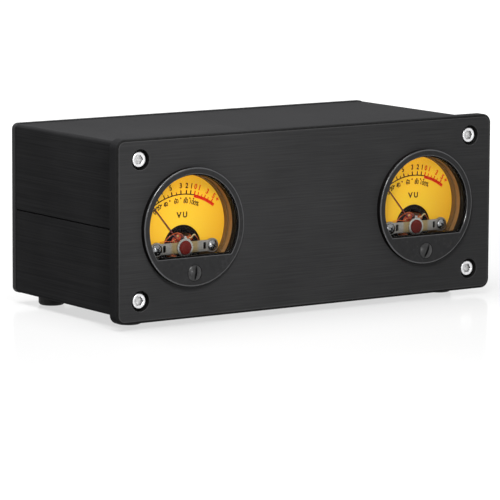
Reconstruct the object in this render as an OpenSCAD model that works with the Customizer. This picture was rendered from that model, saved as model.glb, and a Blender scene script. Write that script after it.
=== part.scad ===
/* [Front panel] */
// Width of the front panel, the widest piece of the case
panel_w = 170; // [150:1:200]
// Height of the front panel
panel_h = 67.2; // [62:0.2:80]
// Thickness of the front panel
panel_t = 4.8; // [3.6:0.2:6]
// Radius of the front panel's corners
panel_corner_r = 3.5; // [2.2:0.1:5]
// Radius worn round the front panel's front edge
panel_edge_r = 0.9; // [0.4:0.1:1.2]
// Height of the line through the meters and between the screws, above the panel's lower edge
centre_h = 33.8; // [32:0.1:36]

/* [Shell] */
// Length of the two shell halves, from front panel to rear panel
shell_l = 72.2; // [70:0.2:110]
// Step from the front panel's side edge in to the shell
inset_side = 4.2; // [2.5:0.1:5]
// Step from the front panel's upper edge down to the shell
inset_top = 1.55; // [1:0.05:2]
// Step from the front panel's lower edge up to the shell
inset_bottom = 1.95; // [1:0.05:2.4]
// Wall thickness of the shell
shell_wall = 2; // [1.6:0.1:2.4]
// Radius of the shell's long outer edges
shell_corner_r = 1.2; // [0.6:0.1:1.5]
// Height of the seam between the shell halves, above the panel's lower edge
seam_h = 33.4; // [30:0.2:37]
// Width of the open groove along the seam
seam_gap = 0.4; // [0.2:0.05:0.8]
// Slope cut along the upper half's edge at the seam
seam_edge = 0.25; // [0.1:0.05:0.5]
// Height of the tongue that closes the seam from inside
tongue_h = 2.4; // [1.5:0.1:3]

/* [Rear panel] */
// Thickness of the rear panel
rear_t = 2.5; // [2:0.1:4]
// How far the rear panel stands out past the shell on each side
rear_proud = 0.35; // [0.1:0.05:1]
// Radius of the rear panel's corners
rear_corner_r = 2.4; // [1.5:0.1:4]
// Radius round the rear panel's back edge
rear_edge_r = 0.5; // [0.3:0.1:0.8]

/* [Case screws] */
// Distance of the case screws in from the panel's side edges
screw_in = 10.2; // [10:0.1:10.6]
// Distance of the case screws above and below the centre line
screw_rise = 25.7; // [25.2:0.1:26.2]
// Radius of the screw thread
thread_r = 1.45; // [1.3:0.05:1.6]
// Radius of the button head
head_r = 2.85; // [2.5:0.05:3]
// Height of the button head
head_h = 1.65; // [1.4:0.05:1.8]
// Radius of the head's recess in the front panel
recess_r = 3.8; // [3.4:0.1:4]
// Depth of the head's recess in the front panel
recess_d = 2.3; // [1.8:0.1:2.6]
// Across-flats size of the hexagon socket
socket_af = 2; // [1.8:0.1:2.4]
// Depth of the hexagon socket
socket_d = 1; // [0.7:0.1:1.1]
// Length of the case screws below the head
screw_l = 12; // [9:0.5:16]
// Radius of the screw channels inside the shell
channel_r = 3.4; // [3:0.1:3.8]
// Clearance between a thread and its hole
thread_gap = 0.05; // [0.02:0.01:0.08]

/* [Feet] */
// Radius of a foot
foot_r = 5; // [4:0.1:7]
// Height of a foot, from the shell's floor down to the table
foot_h = 4.15; // [3.6:0.05:6]
// Radius round the foot's lower edge
foot_edge_r = 1.2; // [0.6:0.1:1.6]
// Distance of the feet in from the panel's side edges
foot_in = 14; // [14:0.5:25]
// Distance of the front feet behind the panel's face
foot_front = 14; // [13:0.5:25]
// Distance of the rear feet in front of the shell's back end
foot_back = 9.5; // [9:0.5:20]
// Radius of the hollow under a foot, where its screw sits
foot_hollow_r = 2.9; // [2.6:0.1:3.2]
// Depth of the hollow under a foot
foot_hollow_d = 2.3; // [1.9:0.1:2.4]

/* [Meter front] */
// Distance of each meter's centre in from the panel's side edge
meter_in = 32.3; // [32:0.1:39]
// Radius of the meter's bezel
bezel_r = 21.8; // [21.4:0.1:22]
// How far the bezel stands out of the panel
bezel_proud = 2.15; // [2:0.05:3]
// Radius round the bezel's outer edge
bezel_edge_r = 0.5; // [0.3:0.05:0.8]
// Radius of the window
window_r = 19.4; // [19.2:0.05:19.5]
// Distance of the window's straight lower edge below the meter's centre
window_drop = 11; // [10.4:0.1:11.5]
// Thickness of the window
lens_t = 1.1; // [0.8:0.1:1.2]
// Step from the bezel's face back to the window
lens_step = 0.15; // [0.05:0.05:0.3]
// Clearance round the window
lens_gap = 0.05; // [0.02:0.01:0.08]
// Width of the ledge behind the window
ledge_w = 0.5; // [0.3:0.05:0.6]
// Thickness of the bezel's flat lower part
apron_t = 2; // [1.9:0.1:2.2]
// How far the bezel's barrel reaches behind the panel's face
barrel_l = 1.7; // [1.2:0.1:2.2]
// Outer radius of the meter's barrel and cup
cup_r = 20.6; // [20.5:0.05:20.8]
// Wall thickness of the meter's barrel and cup
cup_wall = 1.6; // [1.5:0.05:1.7]
// Clearance between the meter's barrel and the panel
barrel_gap = 0.15; // [0.1:0.05:0.2]

/* [Meter cup] */
// Depth of the cup's back face behind the panel's face
cup_back = 24; // [23.8:0.1:26]
// Thickness of the cup's back wall
cup_floor = 1.4; // [1.2:0.1:1.6]
// Radius of the cup's flange behind the panel
flange_r = 23.2; // [22.5:0.1:23.6]
// Thickness of the cup's flange
flange_t = 1.4; // [1:0.1:1.8]
// Depth of the dial's face behind the panel's face
dial_y = 6.2; // [6.2:0.05:6.4]
// Thickness of the dial plate
dial_t = 0.4; // [0.3:0.05:0.4]
// Height of the dial's raised rim
dial_rim_h = 2.2; // [1.6:0.1:2.3]
// Width of the dial's raised rim
dial_rim_w = 0.5; // [0.4:0.05:0.6]
// Clearance between the dial and the cup
dial_gap = 0.1; // [0.05:0.05:0.15]
// Radius of the dial's half-round opening
opening_r = 8.2; // [7.6:0.1:8.4]
// Distance of the dial's lower edge below the pivot
dial_drop = 3.4; // [3:0.1:3.6]

/* [Movement] */
// Distance of the pivot below the meter's centre
pivot_drop = 8.3; // [8.1:0.05:8.4]
// Angle of the pointer at rest, left of upright
rest_angle = 39.7; // [37:0.1:41]
// Length of the pointer from the pivot to its tip
pointer_l = 20.6; // [18:0.1:21]
// Width of the pointer at its root
pointer_w = 0.55; // [0.4:0.05:0.8]
// Width of the pointer at its tip
pointer_tip_w = 0.3; // [0.2:0.05:0.4]
// Thickness of the pointer
pointer_t = 0.2; // [0.15:0.05:0.25]
// Clearance between the pointer and the dial
pointer_gap = 0.3; // [0.25:0.05:0.3]
// Length of the pointer's tail and of its side arm
tail_l = 4.2; // [3.4:0.1:4.6]
// Radius of the balance weights
weight_r = 0.55; // [0.4:0.05:0.7]
// Radius of the magnet core
core_r = 4.5; // [4.2:0.1:4.6]
// Length of the magnet core
core_l = 7.2; // [6.6:0.1:7.4]
// Clearance between the core and the coil, and the coil and the yoke
air_gap = 0.45; // [0.4:0.05:0.5]
// Thickness of the coil's winding, measured out from the core
coil_t = 1; // [0.9:0.05:1.1]
// Width of the coil's winding, measured round the core
coil_w = 2; // [1.6:0.1:2.2]
// Length of the coil along the pivot axis
coil_l = 9.9; // [9.7:0.1:10]
// Outer radius of the yoke ring
yoke_r = 9; // [8.8:0.05:9.1]
// Length of the yoke ring
yoke_l = 8; // [7:0.1:8.4]
// Radius of the staff
staff_r = 0.5; // [0.4:0.05:0.6]
// Radius of the pivots
pivot_r = 0.25; // [0.2:0.01:0.3]
// Running clearance round the pivots
pivot_gap = 0.05; // [0.03:0.01:0.08]
// Radius of the collet that holds a hairspring
collet_r = 0.9; // [0.8:0.05:1]
// Height of the hairspring's band
spring_h = 0.3; // [0.2:0.02:0.3]
// Thickness of the hairspring's band
spring_t = 0.14; // [0.1:0.01:0.16]
// Turns of the hairspring
spring_turns = 4; // [3:1:5]

/* [Bridges] */
// Distance of the bridge screws from the pivot
post_x = 12.1; // [11.8:0.1:12.4]
// Height of the bridge bars
bridge_h = 4.1; // [3.6:0.1:4.6]
// Thickness of the bridge bars
bridge_t = 0.7; // [0.6:0.05:0.7]
// Radius of the bridge screws' heads
bridge_head_r = 2; // [1.7:0.1:2.1]
// Radius of the bridge screws' threads
bridge_thread_r = 0.75; // [0.6:0.05:0.8]
// Radius of the frame's posts
post_r = 2.2; // [2:0.1:2.3]
// Radius of the red front jewel screw's head
jewel_head_r = 2.6; // [2.3:0.1:2.8]
// Radius of the jewel screws' threads
jewel_r = 1.25; // [1.1:0.05:1.3]
// Thickness of the frame's web behind the yoke
web_t = 1.5; // [1.3:0.1:1.6]

/* [Zero setting] */
// Distance of the zero screw below the meter's centre
zero_drop = 16.85; // [16.7:0.05:17]
// Radius of the zero screw's domed head
zero_head_r = 2.9; // [2.6:0.1:3]
// Height of the zero screw's dome in front of the bezel
zero_dome = 0.9; // [0.6:0.1:1.1]
// Depth of the zero screw's seat in the bezel
zero_seat_d = 0.8; // [0.7:0.05:0.9]
// Clearance round the zero screw
zero_gap = 0.06; // [0.04:0.01:0.09]
// Radius of the zero screw's shank
zero_shank_r = 1.1; // [1:0.05:1.2]
// Width of the zero screw's slot
zero_slot_w = 0.9; // [0.6:0.1:1.1]
// Angle of the left zero screw's slot from upright
slot_angle_left = 8; // [-90:1:90]
// Angle of the right zero screw's slot from upright
slot_angle_right = 24; // [-90:1:90]
// Distance of the eccentric pin from the zero screw's axis
pin_offset = 1; // [0.8:0.05:1]
// Radius of the eccentric pin
pin_r = 0.45; // [0.35:0.05:0.5]
// Clearance between the eccentric pin and the lever's fork
fork_gap = 0.13; // [0.12:0.01:0.16]
// Outer radius of the zero lever's ring
lever_ring_r = 3.4; // [3.2:0.1:3.5]
// Thickness of the zero lever
lever_t = 0.36; // [0.3:0.02:0.36]

/* [Board] */
// Distance of the driver board's ends in from the panel's side edges
board_in = 19; // [18:1:25]
// Distance of the driver board's holes from its edges
board_hole_in = 4; // [3.6:0.2:5]
// Depth of the driver board, front to back
board_d = 34; // [30:1:36]
// Thickness of the driver board
board_t = 1.6; // [1.2:0.1:2]
// Height of the driver board's posts above the shell's floor
board_post_h = 4; // [3.5:0.1:5]
// Radius of the driver board's posts
board_post_r = 3; // [2.6:0.1:3.4]
// Distance of the driver board behind the panel's face
board_front = 31; // [30.5:0.5:32]
// Radius of the capacitors
cap_r = 4; // [3:0.5:4.5]
// Height of the capacitors
cap_h = 12; // [8:0.5:14]
// Width of the amplifier chips
chip_w = 10; // [8:0.5:12]
// Depth of the amplifier chips
chip_d = 6.4; // [5:0.2:7]
// Height of the amplifier chips
chip_h = 3.4; // [2.6:0.2:4]
// Width of the regulator
regulator_w = 10; // [8:0.5:11]
// Thickness of the regulator
regulator_t = 4.5; // [4:0.1:5]
// Height of the regulator
regulator_h = 9; // [8:0.5:12]
// Width of the plug headers
header_w = 5.2; // [4:0.1:6]
// Depth of the plug headers
header_d = 5; // [4:0.1:6]
// Height of the plug headers
header_h = 6; // [5:0.1:7]
// Spacing of the two headers of one meter
header_pitch = 8; // [7:0.5:10]

/* [Leads and lamps] */
// Radius of the leads from the board to the meters
lead_r = 0.6; // [0.4:0.05:0.7]
// Distance of the terminals to either side of the meter's middle
terminal_x = 6; // [5:0.5:7]
// Height of the terminals above the meter's centre
terminal_z = 6; // [5:0.5:7]
// Length of the terminals behind the cup
terminal_l = 4; // [3:0.5:5]
// Radius of the terminals
terminal_r = 1.2; // [1:0.1:1.3]
// Across-flats size of the terminals' nuts
terminal_nut_af = 4.2; // [3.6:0.1:4.6]
// Thickness of the terminals' nuts
terminal_nut_t = 1.4; // [1:0.1:1.8]
// Thickness of the lamp board
lamp_board_t = 1.2; // [1:0.1:1.4]
// Distance of the lamp board's stakes to either side of the meter's middle
stake_x = 9; // [8.6:0.1:10]
// Height of the lamp board's stakes above the meter's centre
stake_z = 9; // [8.6:0.1:10]

/* [Rear sockets] */
// Distance of the input sockets in from the panel's side edge
input_in = 27; // [25:1:31]
// Distance of the output sockets in from the panel's side edge
output_in = 51; // [47:1:55]
// Height of the upper row of signal sockets above the panel's lower edge
row_high = 42.5; // [41:0.5:46]
// Height of the lower row of signal sockets above the panel's lower edge
row_low = 24.5; // [22:0.5:26]
// Radius of a signal socket's barrel
jack_r = 4.15; // [4.1:0.05:4.2]
// Length of a signal socket's barrel behind its flange
jack_l = 8; // [7:0.5:9]
// Radius of a signal socket's thread through the rear panel
jack_thread_r = 3.9; // [3.7:0.1:4]
// Radius of the sockets' flanges
jack_flange_r = 5.8; // [5.4:0.1:6.2]
// Length of a signal socket's thread inside the box
jack_inside = 8; // [6:0.5:9]
// Across-flats size of the sockets' nuts
nut_af = 11; // [10:0.1:11.4]
// Thickness of the sockets' nuts
nut_t = 2.2; // [1.8:0.1:2.6]
// Thickness of the sockets' flanges
jack_flange_t = 1.5; // [1:0.1:2]
// Radius of a signal socket's centre contact hole
contact_r = 1.6; // [1.5:0.05:1.7]
// Clearance between a thread and the rear panel's hole
hole_gap = 0.15; // [0.1:0.05:0.3]
// Distance of the supply socket and the power switch in from the panel's side edge
supply_in = 25; // [23:1:27]
// Length of the supply socket inside the box
supply_inside = 10; // [9.5:0.5:12]
// Radius of the supply socket's opening
supply_r = 2.85; // [2.75:0.05:3]
// Radius of the supply socket's centre pin
supply_pin_r = 1.05; // [0.9:0.05:1.25]
// Depth of the supply socket's opening
supply_d = 9.5; // [8:0.5:10]

/* [Rear controls] */
// Distance of the level knob in from the panel's side edge
level_in = 51; // [49:1:55]
// Width of the level control's body
control_w = 11; // [10:0.5:13]
// Height of the level control's body
control_h = 12; // [10:0.5:14]
// Depth of the level control's body
control_d = 9; // [8:0.5:12]
// Across-flats size of the level control's nut
control_nut_af = 10; // [9.6:0.1:11]
// Radius of the level knob
knob_r = 6.5; // [5.5:0.1:8]
// Length of the level knob
knob_l = 9; // [8:0.5:12]
// Number of flutes round the level knob
knob_flutes = 18; // [13:1:24]
// Radius of the level control's shaft
shaft_r = 3; // [2.8:0.1:3.1]
// Running clearance round the level control's shaft
shaft_gap = 0.05; // [0.03:0.01:0.08]
// Depth of the power switch inside the box
switch_d = 9.5; // [8:0.5:14]
// Width of the power switch's frame
switch_w = 10.6; // [10:0.1:12]
// Height of the power switch's frame
switch_h = 15.2; // [14:0.1:17]
// Thickness of the power switch's frame
switch_t = 1.6; // [1.4:0.1:1.8]
// Angle of the rocker to either side of level
rocker_angle = 8; // [6:0.5:9]

/* [Hidden] */
$fn = 64;
sides = [-1, 1];
// How far a cutting shape runs past what it cuts, and how far fused shapes lap
cut = 0.5;
lap = 0.1;
// Shell outline, heights above the panel's lower edge, depths behind the panel's face
shell_w = panel_w - 2 * inset_side;
screw_x = panel_w / 2 - screw_in;
foot_x = panel_w / 2 - foot_in;
meter_x = panel_w / 2 - meter_in;
board_w = panel_w - 2 * board_in;
shell_top = panel_h - inset_top;
shell_back = panel_t + shell_l;
inner_x = shell_w / 2 - shell_wall;
floor_z = inset_bottom + shell_wall;
rear_face = shell_back + rear_t;
// The seam's tongue: its outer face, its clearance and how far its foot reaches down
tongue_x = shell_w / 2 - shell_wall / 2;
tongue_gap = 0.05;
tongue_foot = 2;
rib_t = 1.2;
bore_r = thread_r + thread_gap;
head_y = recess_d - head_h;
// Depths in a meter, from front to back
bezel_face = -bezel_proud;
lens_back = bezel_face + lens_step + lens_t;
apron_back = bezel_face + apron_t;
cup_inner_r = cup_r - cup_wall;
pointer_back = dial_y - pointer_gap;
pointer_front = pointer_back - pointer_t;
bridge_back = dial_y - 1;
bridge_front = bridge_back - bridge_t;
axial_gap = 0.02;
staff_front = bridge_back + axial_gap + 0.03;
lever_front = bridge_front - axial_gap - lever_t;
jewel_back = lever_front - axial_gap;
jewel_head_t = 0.5;
coil_front = dial_y + dial_t - 0.1;
coil_back = coil_front + coil_l;
coil_out = core_r + air_gap + coil_t;
coil_in = core_r + air_gap;
yoke_bore = coil_out + air_gap + 0.1;
web_front = coil_back - 0.4;
web_back = web_front + web_t;
lamp_board_y = web_back + 1;
stake_r = 0.9;
rear_bar_front = web_back + 0.7;
rear_post_x = post_x - post_r - bridge_head_r - 0.2;
staff_back = rear_bar_front - axial_gap - 0.18;
cup_inside = cup_back - cup_floor;
zero_seat = bezel_face + zero_seat_d;
fork_r = zero_drop - pivot_drop - pin_offset;
spiral_steps = 20;
// Rear fittings
bushing_r = shaft_r + 0.8;
sleeve_r = jack_r - 0.75;
input_x = panel_w / 2 - input_in;
output_x = panel_w / 2 - output_in;
supply_x = panel_w / 2 - supply_in;
level_x = panel_w / 2 - level_in;
switch_rim = 1;
rocker_w = switch_w - 3.6;
rocker_h = switch_h - 4.4;
rocker_pin_r = 0.7;
rocker_room = 0.3;
rocker_y = rear_face + switch_t - 0.4;
knob_front = rear_face + 3;
knob_end = knob_front + knob_l;
jack_end = rear_face + jack_flange_t + jack_l;
level_z = centre_h;
// The box's own frame: its middle in X and Y, and the table under the feet
front_reach = bezel_proud + zero_dome;
rear_reach = max(knob_end, jack_end);
case_y = (front_reach - rear_reach) / 2;
case_z = foot_h - inset_bottom;
board_z = floor_z + board_post_h;
board_top = board_z + board_t;
board_holes = [for (x = sides, y = [board_hole_in, board_d - board_hole_in])
    [x * (board_w / 2 - board_hole_in), board_front + y]];
// The plug headers: the middle of each meter's pair, and their place behind the board's edge
header_mid = [18 - board_w / 2, board_w / 2 - 50];
header_in = 3;
foot_places = [for (x = sides, y = [foot_front, shell_back - foot_back]) [x * foot_x, y]];
jack_places = [for (x = [-input_x, -output_x], z = [row_low, row_high]) [x, z]];

// ---- Places and simple shapes ----

// From the panel's frame to the box's own frame
module placed() { translate([0, case_y, case_z]) children(); }
// From the panel's frame to one meter's centre
module at_meter(side) { placed() translate([side * meter_x, 0, centre_h]) children(); }
// From the panel's frame to one meter's pivot axis
module at_pivot(side) { at_meter(side) translate([0, 0, -pivot_drop]) children(); }
// The moving coil's own frame, turned with the pointer at rest
module at_coil(side) { at_pivot(side) rotate([0, -rest_angle, 0]) children(); }
// Each of the four case screws' axes
module at_screws() {
    for (x = sides, z = sides) translate([x * screw_x, 0, centre_h + z * screw_rise]) children();
}
// A flat shape seen from the front, from y = start back to y = end
module slab(start, end) {
    translate([0, end, 0]) rotate([90, 0, 0]) linear_extrude(end - start) children();
}
// A round bar or cone along Y, from y = start back to y = end
module bar(r, start, end, r_end = 0) {
    translate([0, start, 0]) rotate([-90, 0, 0])
        cylinder(r1 = r, r2 = r_end > 0 ? r_end : r, h = end - start);
}
// A tube along Y
module tube(r_out, r_in, start, end) {
    difference() {
        bar(r_out, start, end);
        bar(r_in, start - cut, end + cut);
    }
}
// A rectangle with round corners, about its middle
module round_rect(w, h, r) {
    square([w - 2 * r, h], center = true);
    square([w, h - 2 * r], center = true);
    for (x = sides, z = sides) translate([x * (w / 2 - r), z * (h / 2 - r)]) circle(r);
}
// One half of a plate's section, with its front corner rounded
module half_section(half, t, r) {
    translate([0, r]) square([half, t - r]);
    square([half - r, t]);
    translate([half - r, r]) circle(r);
}
module full_section(w, t, r) {
    half_section(w / 2, t, r);
    mirror([1, 0]) half_section(w / 2, t, r);
}
// A plate with round corners and a rounded front edge, its face at y = 0, about its middle
module soft_plate(w, h, t, corner, edge) {
    linear_extrude(h - 2 * corner, center = true) full_section(w, t, edge);
    rotate([0, 90, 0]) linear_extrude(w - 2 * corner, center = true) full_section(h, t, edge);
    for (x = sides, z = sides)
        translate([x * (w / 2 - corner), 0, z * (h / 2 - corner)]) rotate([-90, 0, 0])
            rotate_extrude() half_section(corner, t, edge);
}
// A cap cut from a sphere, base radius r at y = 0, standing forward by h
module cap(r, h) {
    ball = (r * r + h * h) / (2 * h);
    rotate([90, 0, 0]) rotate_extrude() intersection() {
        translate([0, h - ball]) circle(ball);
        square([r, h]);
    }
}
module hexagon(af) { rotate(30) circle(af / sqrt(3), $fn = 6); }
// A button-head screw, the top of its head at y = 0
module button_screw(l) {
    rim = 0.3;
    difference() {
        union() {
            translate([0, head_h - rim, 0]) cap(head_r, head_h - rim);
            bar(head_r, head_h - rim, head_h);
            bar(thread_r, head_h - rim, head_h + l);
        }
        slab(-cut, socket_d) hexagon(socket_af);
    }
}

// A cross slot in the top of a screw's head, which is at y = 0
module cross_slot(l, w, d) {
    for (a = [45, 135]) rotate([0, a, 0]) slab(-cut, d) square([l, w], center = true);
}

// ---- Case ----

module front_panel() {
    placed() color([0.18, 0.18, 0.19]) difference() {
        translate([0, 0, panel_h / 2]) soft_plate(panel_w, panel_h, panel_t, panel_corner_r, panel_edge_r);
        at_screws() {
            bar(recess_r, -cut, recess_d);
            bar(bore_r, recess_d - cut, panel_t + cut);
        }
        for (x = sides) translate([x * meter_x, 0, centre_h]) bar(cup_r + barrel_gap, -cut, panel_t + cut);
    }
}
module panel_screws() {
    placed() color([0.85, 0.85, 0.87]) at_screws() translate([0, head_y, 0]) button_screw(screw_l);
}
// The shell's section: a rounded outline hollowed to one wall
module shell_section() {
    mid = (shell_top + inset_bottom) / 2;
    h = shell_top - inset_bottom;
    translate([0, mid]) difference() {
        round_rect(shell_w, h, shell_corner_r);
        square([shell_w - 2 * shell_wall, h - 2 * shell_wall], center = true);
    }
}
// The screw channels along the shell's upper (1) or lower (-1) corners
module channels(level) {
    z = centre_h + level * screw_rise;
    wall_z = level > 0 ? shell_top - shell_wall : floor_z;
    for (x = sides) translate([x * screw_x, z]) {
        circle(channel_r);
        translate([x > 0 ? 0 : screw_x - inner_x - lap, -rib_t / 2])
            square([inner_x - screw_x + lap, rib_t]);
        translate([-rib_t / 2, level > 0 ? 0 : wall_z - z - lap]) square([rib_t, abs(wall_z - z) + lap]);
    }
}
module channel_bores(level) {
    for (x = sides) translate([x * screw_x, centre_h + level * screw_rise]) circle(bore_r);
}
module top_shell() {
    placed() color([0.14, 0.14, 0.15]) slab(panel_t, shell_back) difference() {
        union() {
            intersection() {
                shell_section();
                translate([-panel_w / 2, seam_h + seam_gap / 2]) square([panel_w, panel_h]);
            }
            channels(1);
        }
        channel_bores(1);
        for (x = sides) translate([x * shell_w / 2, seam_h + seam_gap / 2]) rotate(45)
            square(seam_edge * sqrt(2), center = true);
        translate([-tongue_x - tongue_gap, 0])
            square([2 * (tongue_x + tongue_gap), seam_h + tongue_h + tongue_gap]);
    }
}
module bottom_shell() {
    placed() color([0.14, 0.14, 0.15]) difference() {
        union() {
            slab(panel_t, shell_back) difference() {
                union() {
                    intersection() {
                        shell_section();
                        translate([-panel_w / 2, 0]) square([panel_w, seam_h - seam_gap / 2]);
                    }
                    for (x = sides) translate([x > 0 ? inner_x : -tongue_x, seam_h - tongue_foot])
                        square([tongue_x - inner_x, tongue_h + tongue_foot]);
                    channels(-1);
                }
                channel_bores(-1);
            }
            for (p = board_holes) translate([p[0], p[1], floor_z - cut])
                cylinder(r = board_post_r, h = board_post_h + cut);
        }
        for (p = board_holes) translate([p[0], p[1], floor_z]) cylinder(r = bore_r, h = board_post_h + cut);
        for (p = foot_places) translate([p[0], p[1], inset_bottom - cut])
            cylinder(r = bore_r, h = shell_wall + 2 * cut);
    }
}
module rear_panel() {
    w = shell_w + 2 * rear_proud;
    h = shell_top - inset_bottom + 2 * rear_proud;
    placed() color([0.12, 0.12, 0.13]) difference() {
        translate([0, rear_face, (shell_top + inset_bottom) / 2]) mirror([0, 1, 0])
            soft_plate(w, h, rear_t, rear_corner_r, rear_edge_r);
        at_screws() bar(bore_r, shell_back - cut, rear_face + cut);
        for (p = jack_places) translate([p[0], 0, p[1]])
            bar(jack_thread_r + hole_gap, shell_back - cut, rear_face + cut);
        translate([supply_x, 0, row_low]) bar(jack_thread_r + hole_gap, shell_back - cut, rear_face + cut);
        translate([level_x, 0, level_z]) bar(bushing_r + hole_gap, shell_back - cut, rear_face + cut);
        translate([supply_x, 0, row_high]) slab(shell_back - cut, rear_face + cut)
            square([switch_w - 2 * switch_rim, switch_h - 2 * switch_rim], center = true);
    }
}
module rear_screws() {
    placed() color([0.2, 0.2, 0.21]) at_screws()
        translate([0, rear_face + head_h, 0]) mirror([0, 1, 0]) button_screw(screw_l);
}
module feet() {
    placed() color([0.07, 0.07, 0.07]) for (p = foot_places)
        translate([p[0], p[1], inset_bottom - foot_h]) difference() {
            rotate_extrude() half_section(foot_r, foot_h, foot_edge_r);
            translate([0, 0, -cut]) cylinder(r = foot_hollow_r, h = foot_hollow_d + cut);
            cylinder(r = bore_r, h = foot_h + cut);
        }
}
module foot_screws() {
    head = 1.5;
    place_z = inset_bottom - foot_h + foot_hollow_d - head;
    placed() color([0.6, 0.6, 0.62]) for (p = foot_places)
        translate([p[0], p[1], place_z]) rotate([90, 0, 0]) difference() {
            union() {
                bar(foot_hollow_r - 0.4, 0, head);
                bar(thread_r, head - lap, head + foot_h - foot_hollow_d + shell_wall);
            }
            cross_slot(2.6, 0.5, 0.8);
        }
}

// ---- Driver board ----

module driver_board() {
    placed() color([0.1, 0.35, 0.2]) difference() {
        translate([-board_w / 2, board_front, board_z]) cube([board_w, board_d, board_t]);
        for (p = board_holes) translate([p[0], p[1], board_z - cut]) cylinder(r = bore_r, h = board_t + 2 * cut);
    }
}
// Capacitors, amplifier chips, a regulator and the plug headers
module board_parts() {
    cap_count = 6;
    cap_in = 21;
    cap_pitch = (board_w - 2 * cap_in) / (cap_count - 1);
    chip_pitch = 3 * chip_w;
    placed() color([0.12, 0.14, 0.2]) {
        for (i = [0:cap_count - 1])
            translate([cap_in - board_w / 2 + cap_pitch * i, board_front + board_d - 2 * cap_r - 1, board_top])
                capacitor();
        for (i = [-1:1]) translate([i * chip_pitch - chip_w / 2, board_front + board_d / 3, board_top])
            difference() {
                cube([chip_w, chip_d, chip_h]);
                translate([0, chip_d / 2, chip_h]) sphere(chip_h / 4);
            }
        translate([board_w / 2 - 2 * regulator_w, board_front + board_d / 4, board_top])
            cube([regulator_w, regulator_t, regulator_h]);
        for (mid = header_mid, k = sides)
            translate([mid + (k * header_pitch - header_w) / 2, board_front + header_in, board_top])
                cube([header_w, header_d, header_h]);
    }
}
// A can with its pressed waist and the cross scored in its top
module capacitor() {
    waist = 0.5;
    score = 0.3;
    difference() {
        cylinder(r = cap_r, h = cap_h);
        translate([0, 0, 3 * waist]) rotate_extrude() translate([cap_r + waist / 2, 0]) circle(waist);
        for (a = [0, 90]) rotate(a) translate([-cap_r, -score / 2, cap_h - score])
            cube([2 * cap_r, score, cut]);
    }
}
module board_screws() {
    placed() color([0.7, 0.7, 0.72]) for (p = board_holes)
        translate([p[0], p[1], board_top + head_h]) rotate([-90, 0, 0]) button_screw(board_post_h);
}

// ---- Leads ----

// Points on the ring of a lead, square to the direction d
function unit(v) = v / norm(v);
function ring_points(c, d, r, n) =
    let (a = unit(cross(d, abs(d[2]) > 0.9 ? [0, 1, 0] : [0, 0, 1])), b = cross(a, d))
    [for (i = [0:n - 1]) c + r * (cos(360 * i / n) * a + sin(360 * i / n) * b)];
// A point on a smooth curve from a to d, leaving along b - a and arriving along d - c
function bend(a, b, c, d, t) =
    pow(1 - t, 3) * a + 3 * t * pow(1 - t, 2) * b + 3 * t * t * (1 - t) * c + pow(t, 3) * d;
// The curve's direction there
function heading(a, b, c, d, t) =
    unit(pow(1 - t, 2) * (b - a) + 2 * t * (1 - t) * (c - b) + t * t * (d - c));
module lead(a, b, c, d, r) {
    n = 8;
    steps = 10;
    rings = [for (i = [0:steps]) let (t = i / steps)
        each ring_points(bend(a, b, c, d, t), heading(a, b, c, d, t), r, n)];
    walls = [for (i = [0:steps - 1], k = [0:n - 1]) let (m = (k + 1) % n)
        each [[i * n + k, i * n + m, (i + 1) * n + m], [i * n + k, (i + 1) * n + m, (i + 1) * n + k]]];
    ends = [for (k = [1:n - 2]) each [[0, k + 1, k], [steps * n, steps * n + k, steps * n + k + 1]]];
    polyhedron(rings, concat(walls, ends));
}
module leads() {
    placed() color([0.6, 0.1, 0.1]) for (side = sides, k = sides) {
        mid = side < 0 ? header_mid[0] : header_mid[1];
        end = [mid + k * header_pitch / 2, board_front + header_in + header_d / 2, board_top + header_h];
        start = [side * meter_x + k * terminal_x, cup_back + terminal_l, centre_h + terminal_z];
        lead(start, start + [0, 8 * lead_r, 0], end + [0, 0, 20 * lead_r], end, lead_r);
    }
}

// ---- Rear fittings ----

module signal_sockets() {
    placed() color([0.8, 0.66, 0.3]) for (p = jack_places) translate([p[0], 0, p[1]]) difference() {
        union() {
            bar(jack_flange_r, rear_face, rear_face + jack_flange_t);
            bar(jack_r, rear_face, jack_end);
            bar(jack_thread_r, shell_back - jack_inside, rear_face + lap);
        }
        bar(sleeve_r, shell_back - jack_inside - cut, jack_end + cut);
    }
}
module socket_insulators() {
    placed() color([0.9, 0.9, 0.88]) for (p = jack_places)
        translate([p[0], 0, p[1]]) tube(sleeve_r, contact_r, shell_back - jack_inside, jack_end - 0.4);
}
module socket_nuts() {
    placed() color([0.75, 0.75, 0.77])
        for (p = concat(jack_places, [[supply_x, row_low]])) translate([p[0], 0, p[1]])
            slab(shell_back - nut_t, shell_back) difference() {
                hexagon(nut_af);
                circle(jack_thread_r + thread_gap);
            }
}
module supply_socket() {
    mouth = rear_face + jack_flange_t;
    placed() color([0.1, 0.1, 0.1]) translate([supply_x, 0, row_low]) {
        difference() {
            union() {
                bar(jack_flange_r, rear_face, mouth);
                bar(jack_thread_r, shell_back - supply_inside, rear_face + lap);
            }
            bar(supply_r, mouth - supply_d, mouth + cut);
        }
        bar(supply_pin_r, mouth - supply_d - lap, mouth - 0.6);
    }
}
module level_control() {
    placed() color([0.45, 0.45, 0.47]) translate([level_x, 0, level_z]) difference() {
        union() {
            translate([-control_w / 2, shell_back - control_d, -control_h / 2])
                cube([control_w, control_d, control_h]);
            bar(bushing_r, shell_back - cut, rear_face + 2.4);
            slab(rear_face, rear_face + 1.8) hexagon(control_nut_af);
        }
        bar(shaft_r + shaft_gap, shell_back - 6, rear_face + 4);
    }
}
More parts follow.
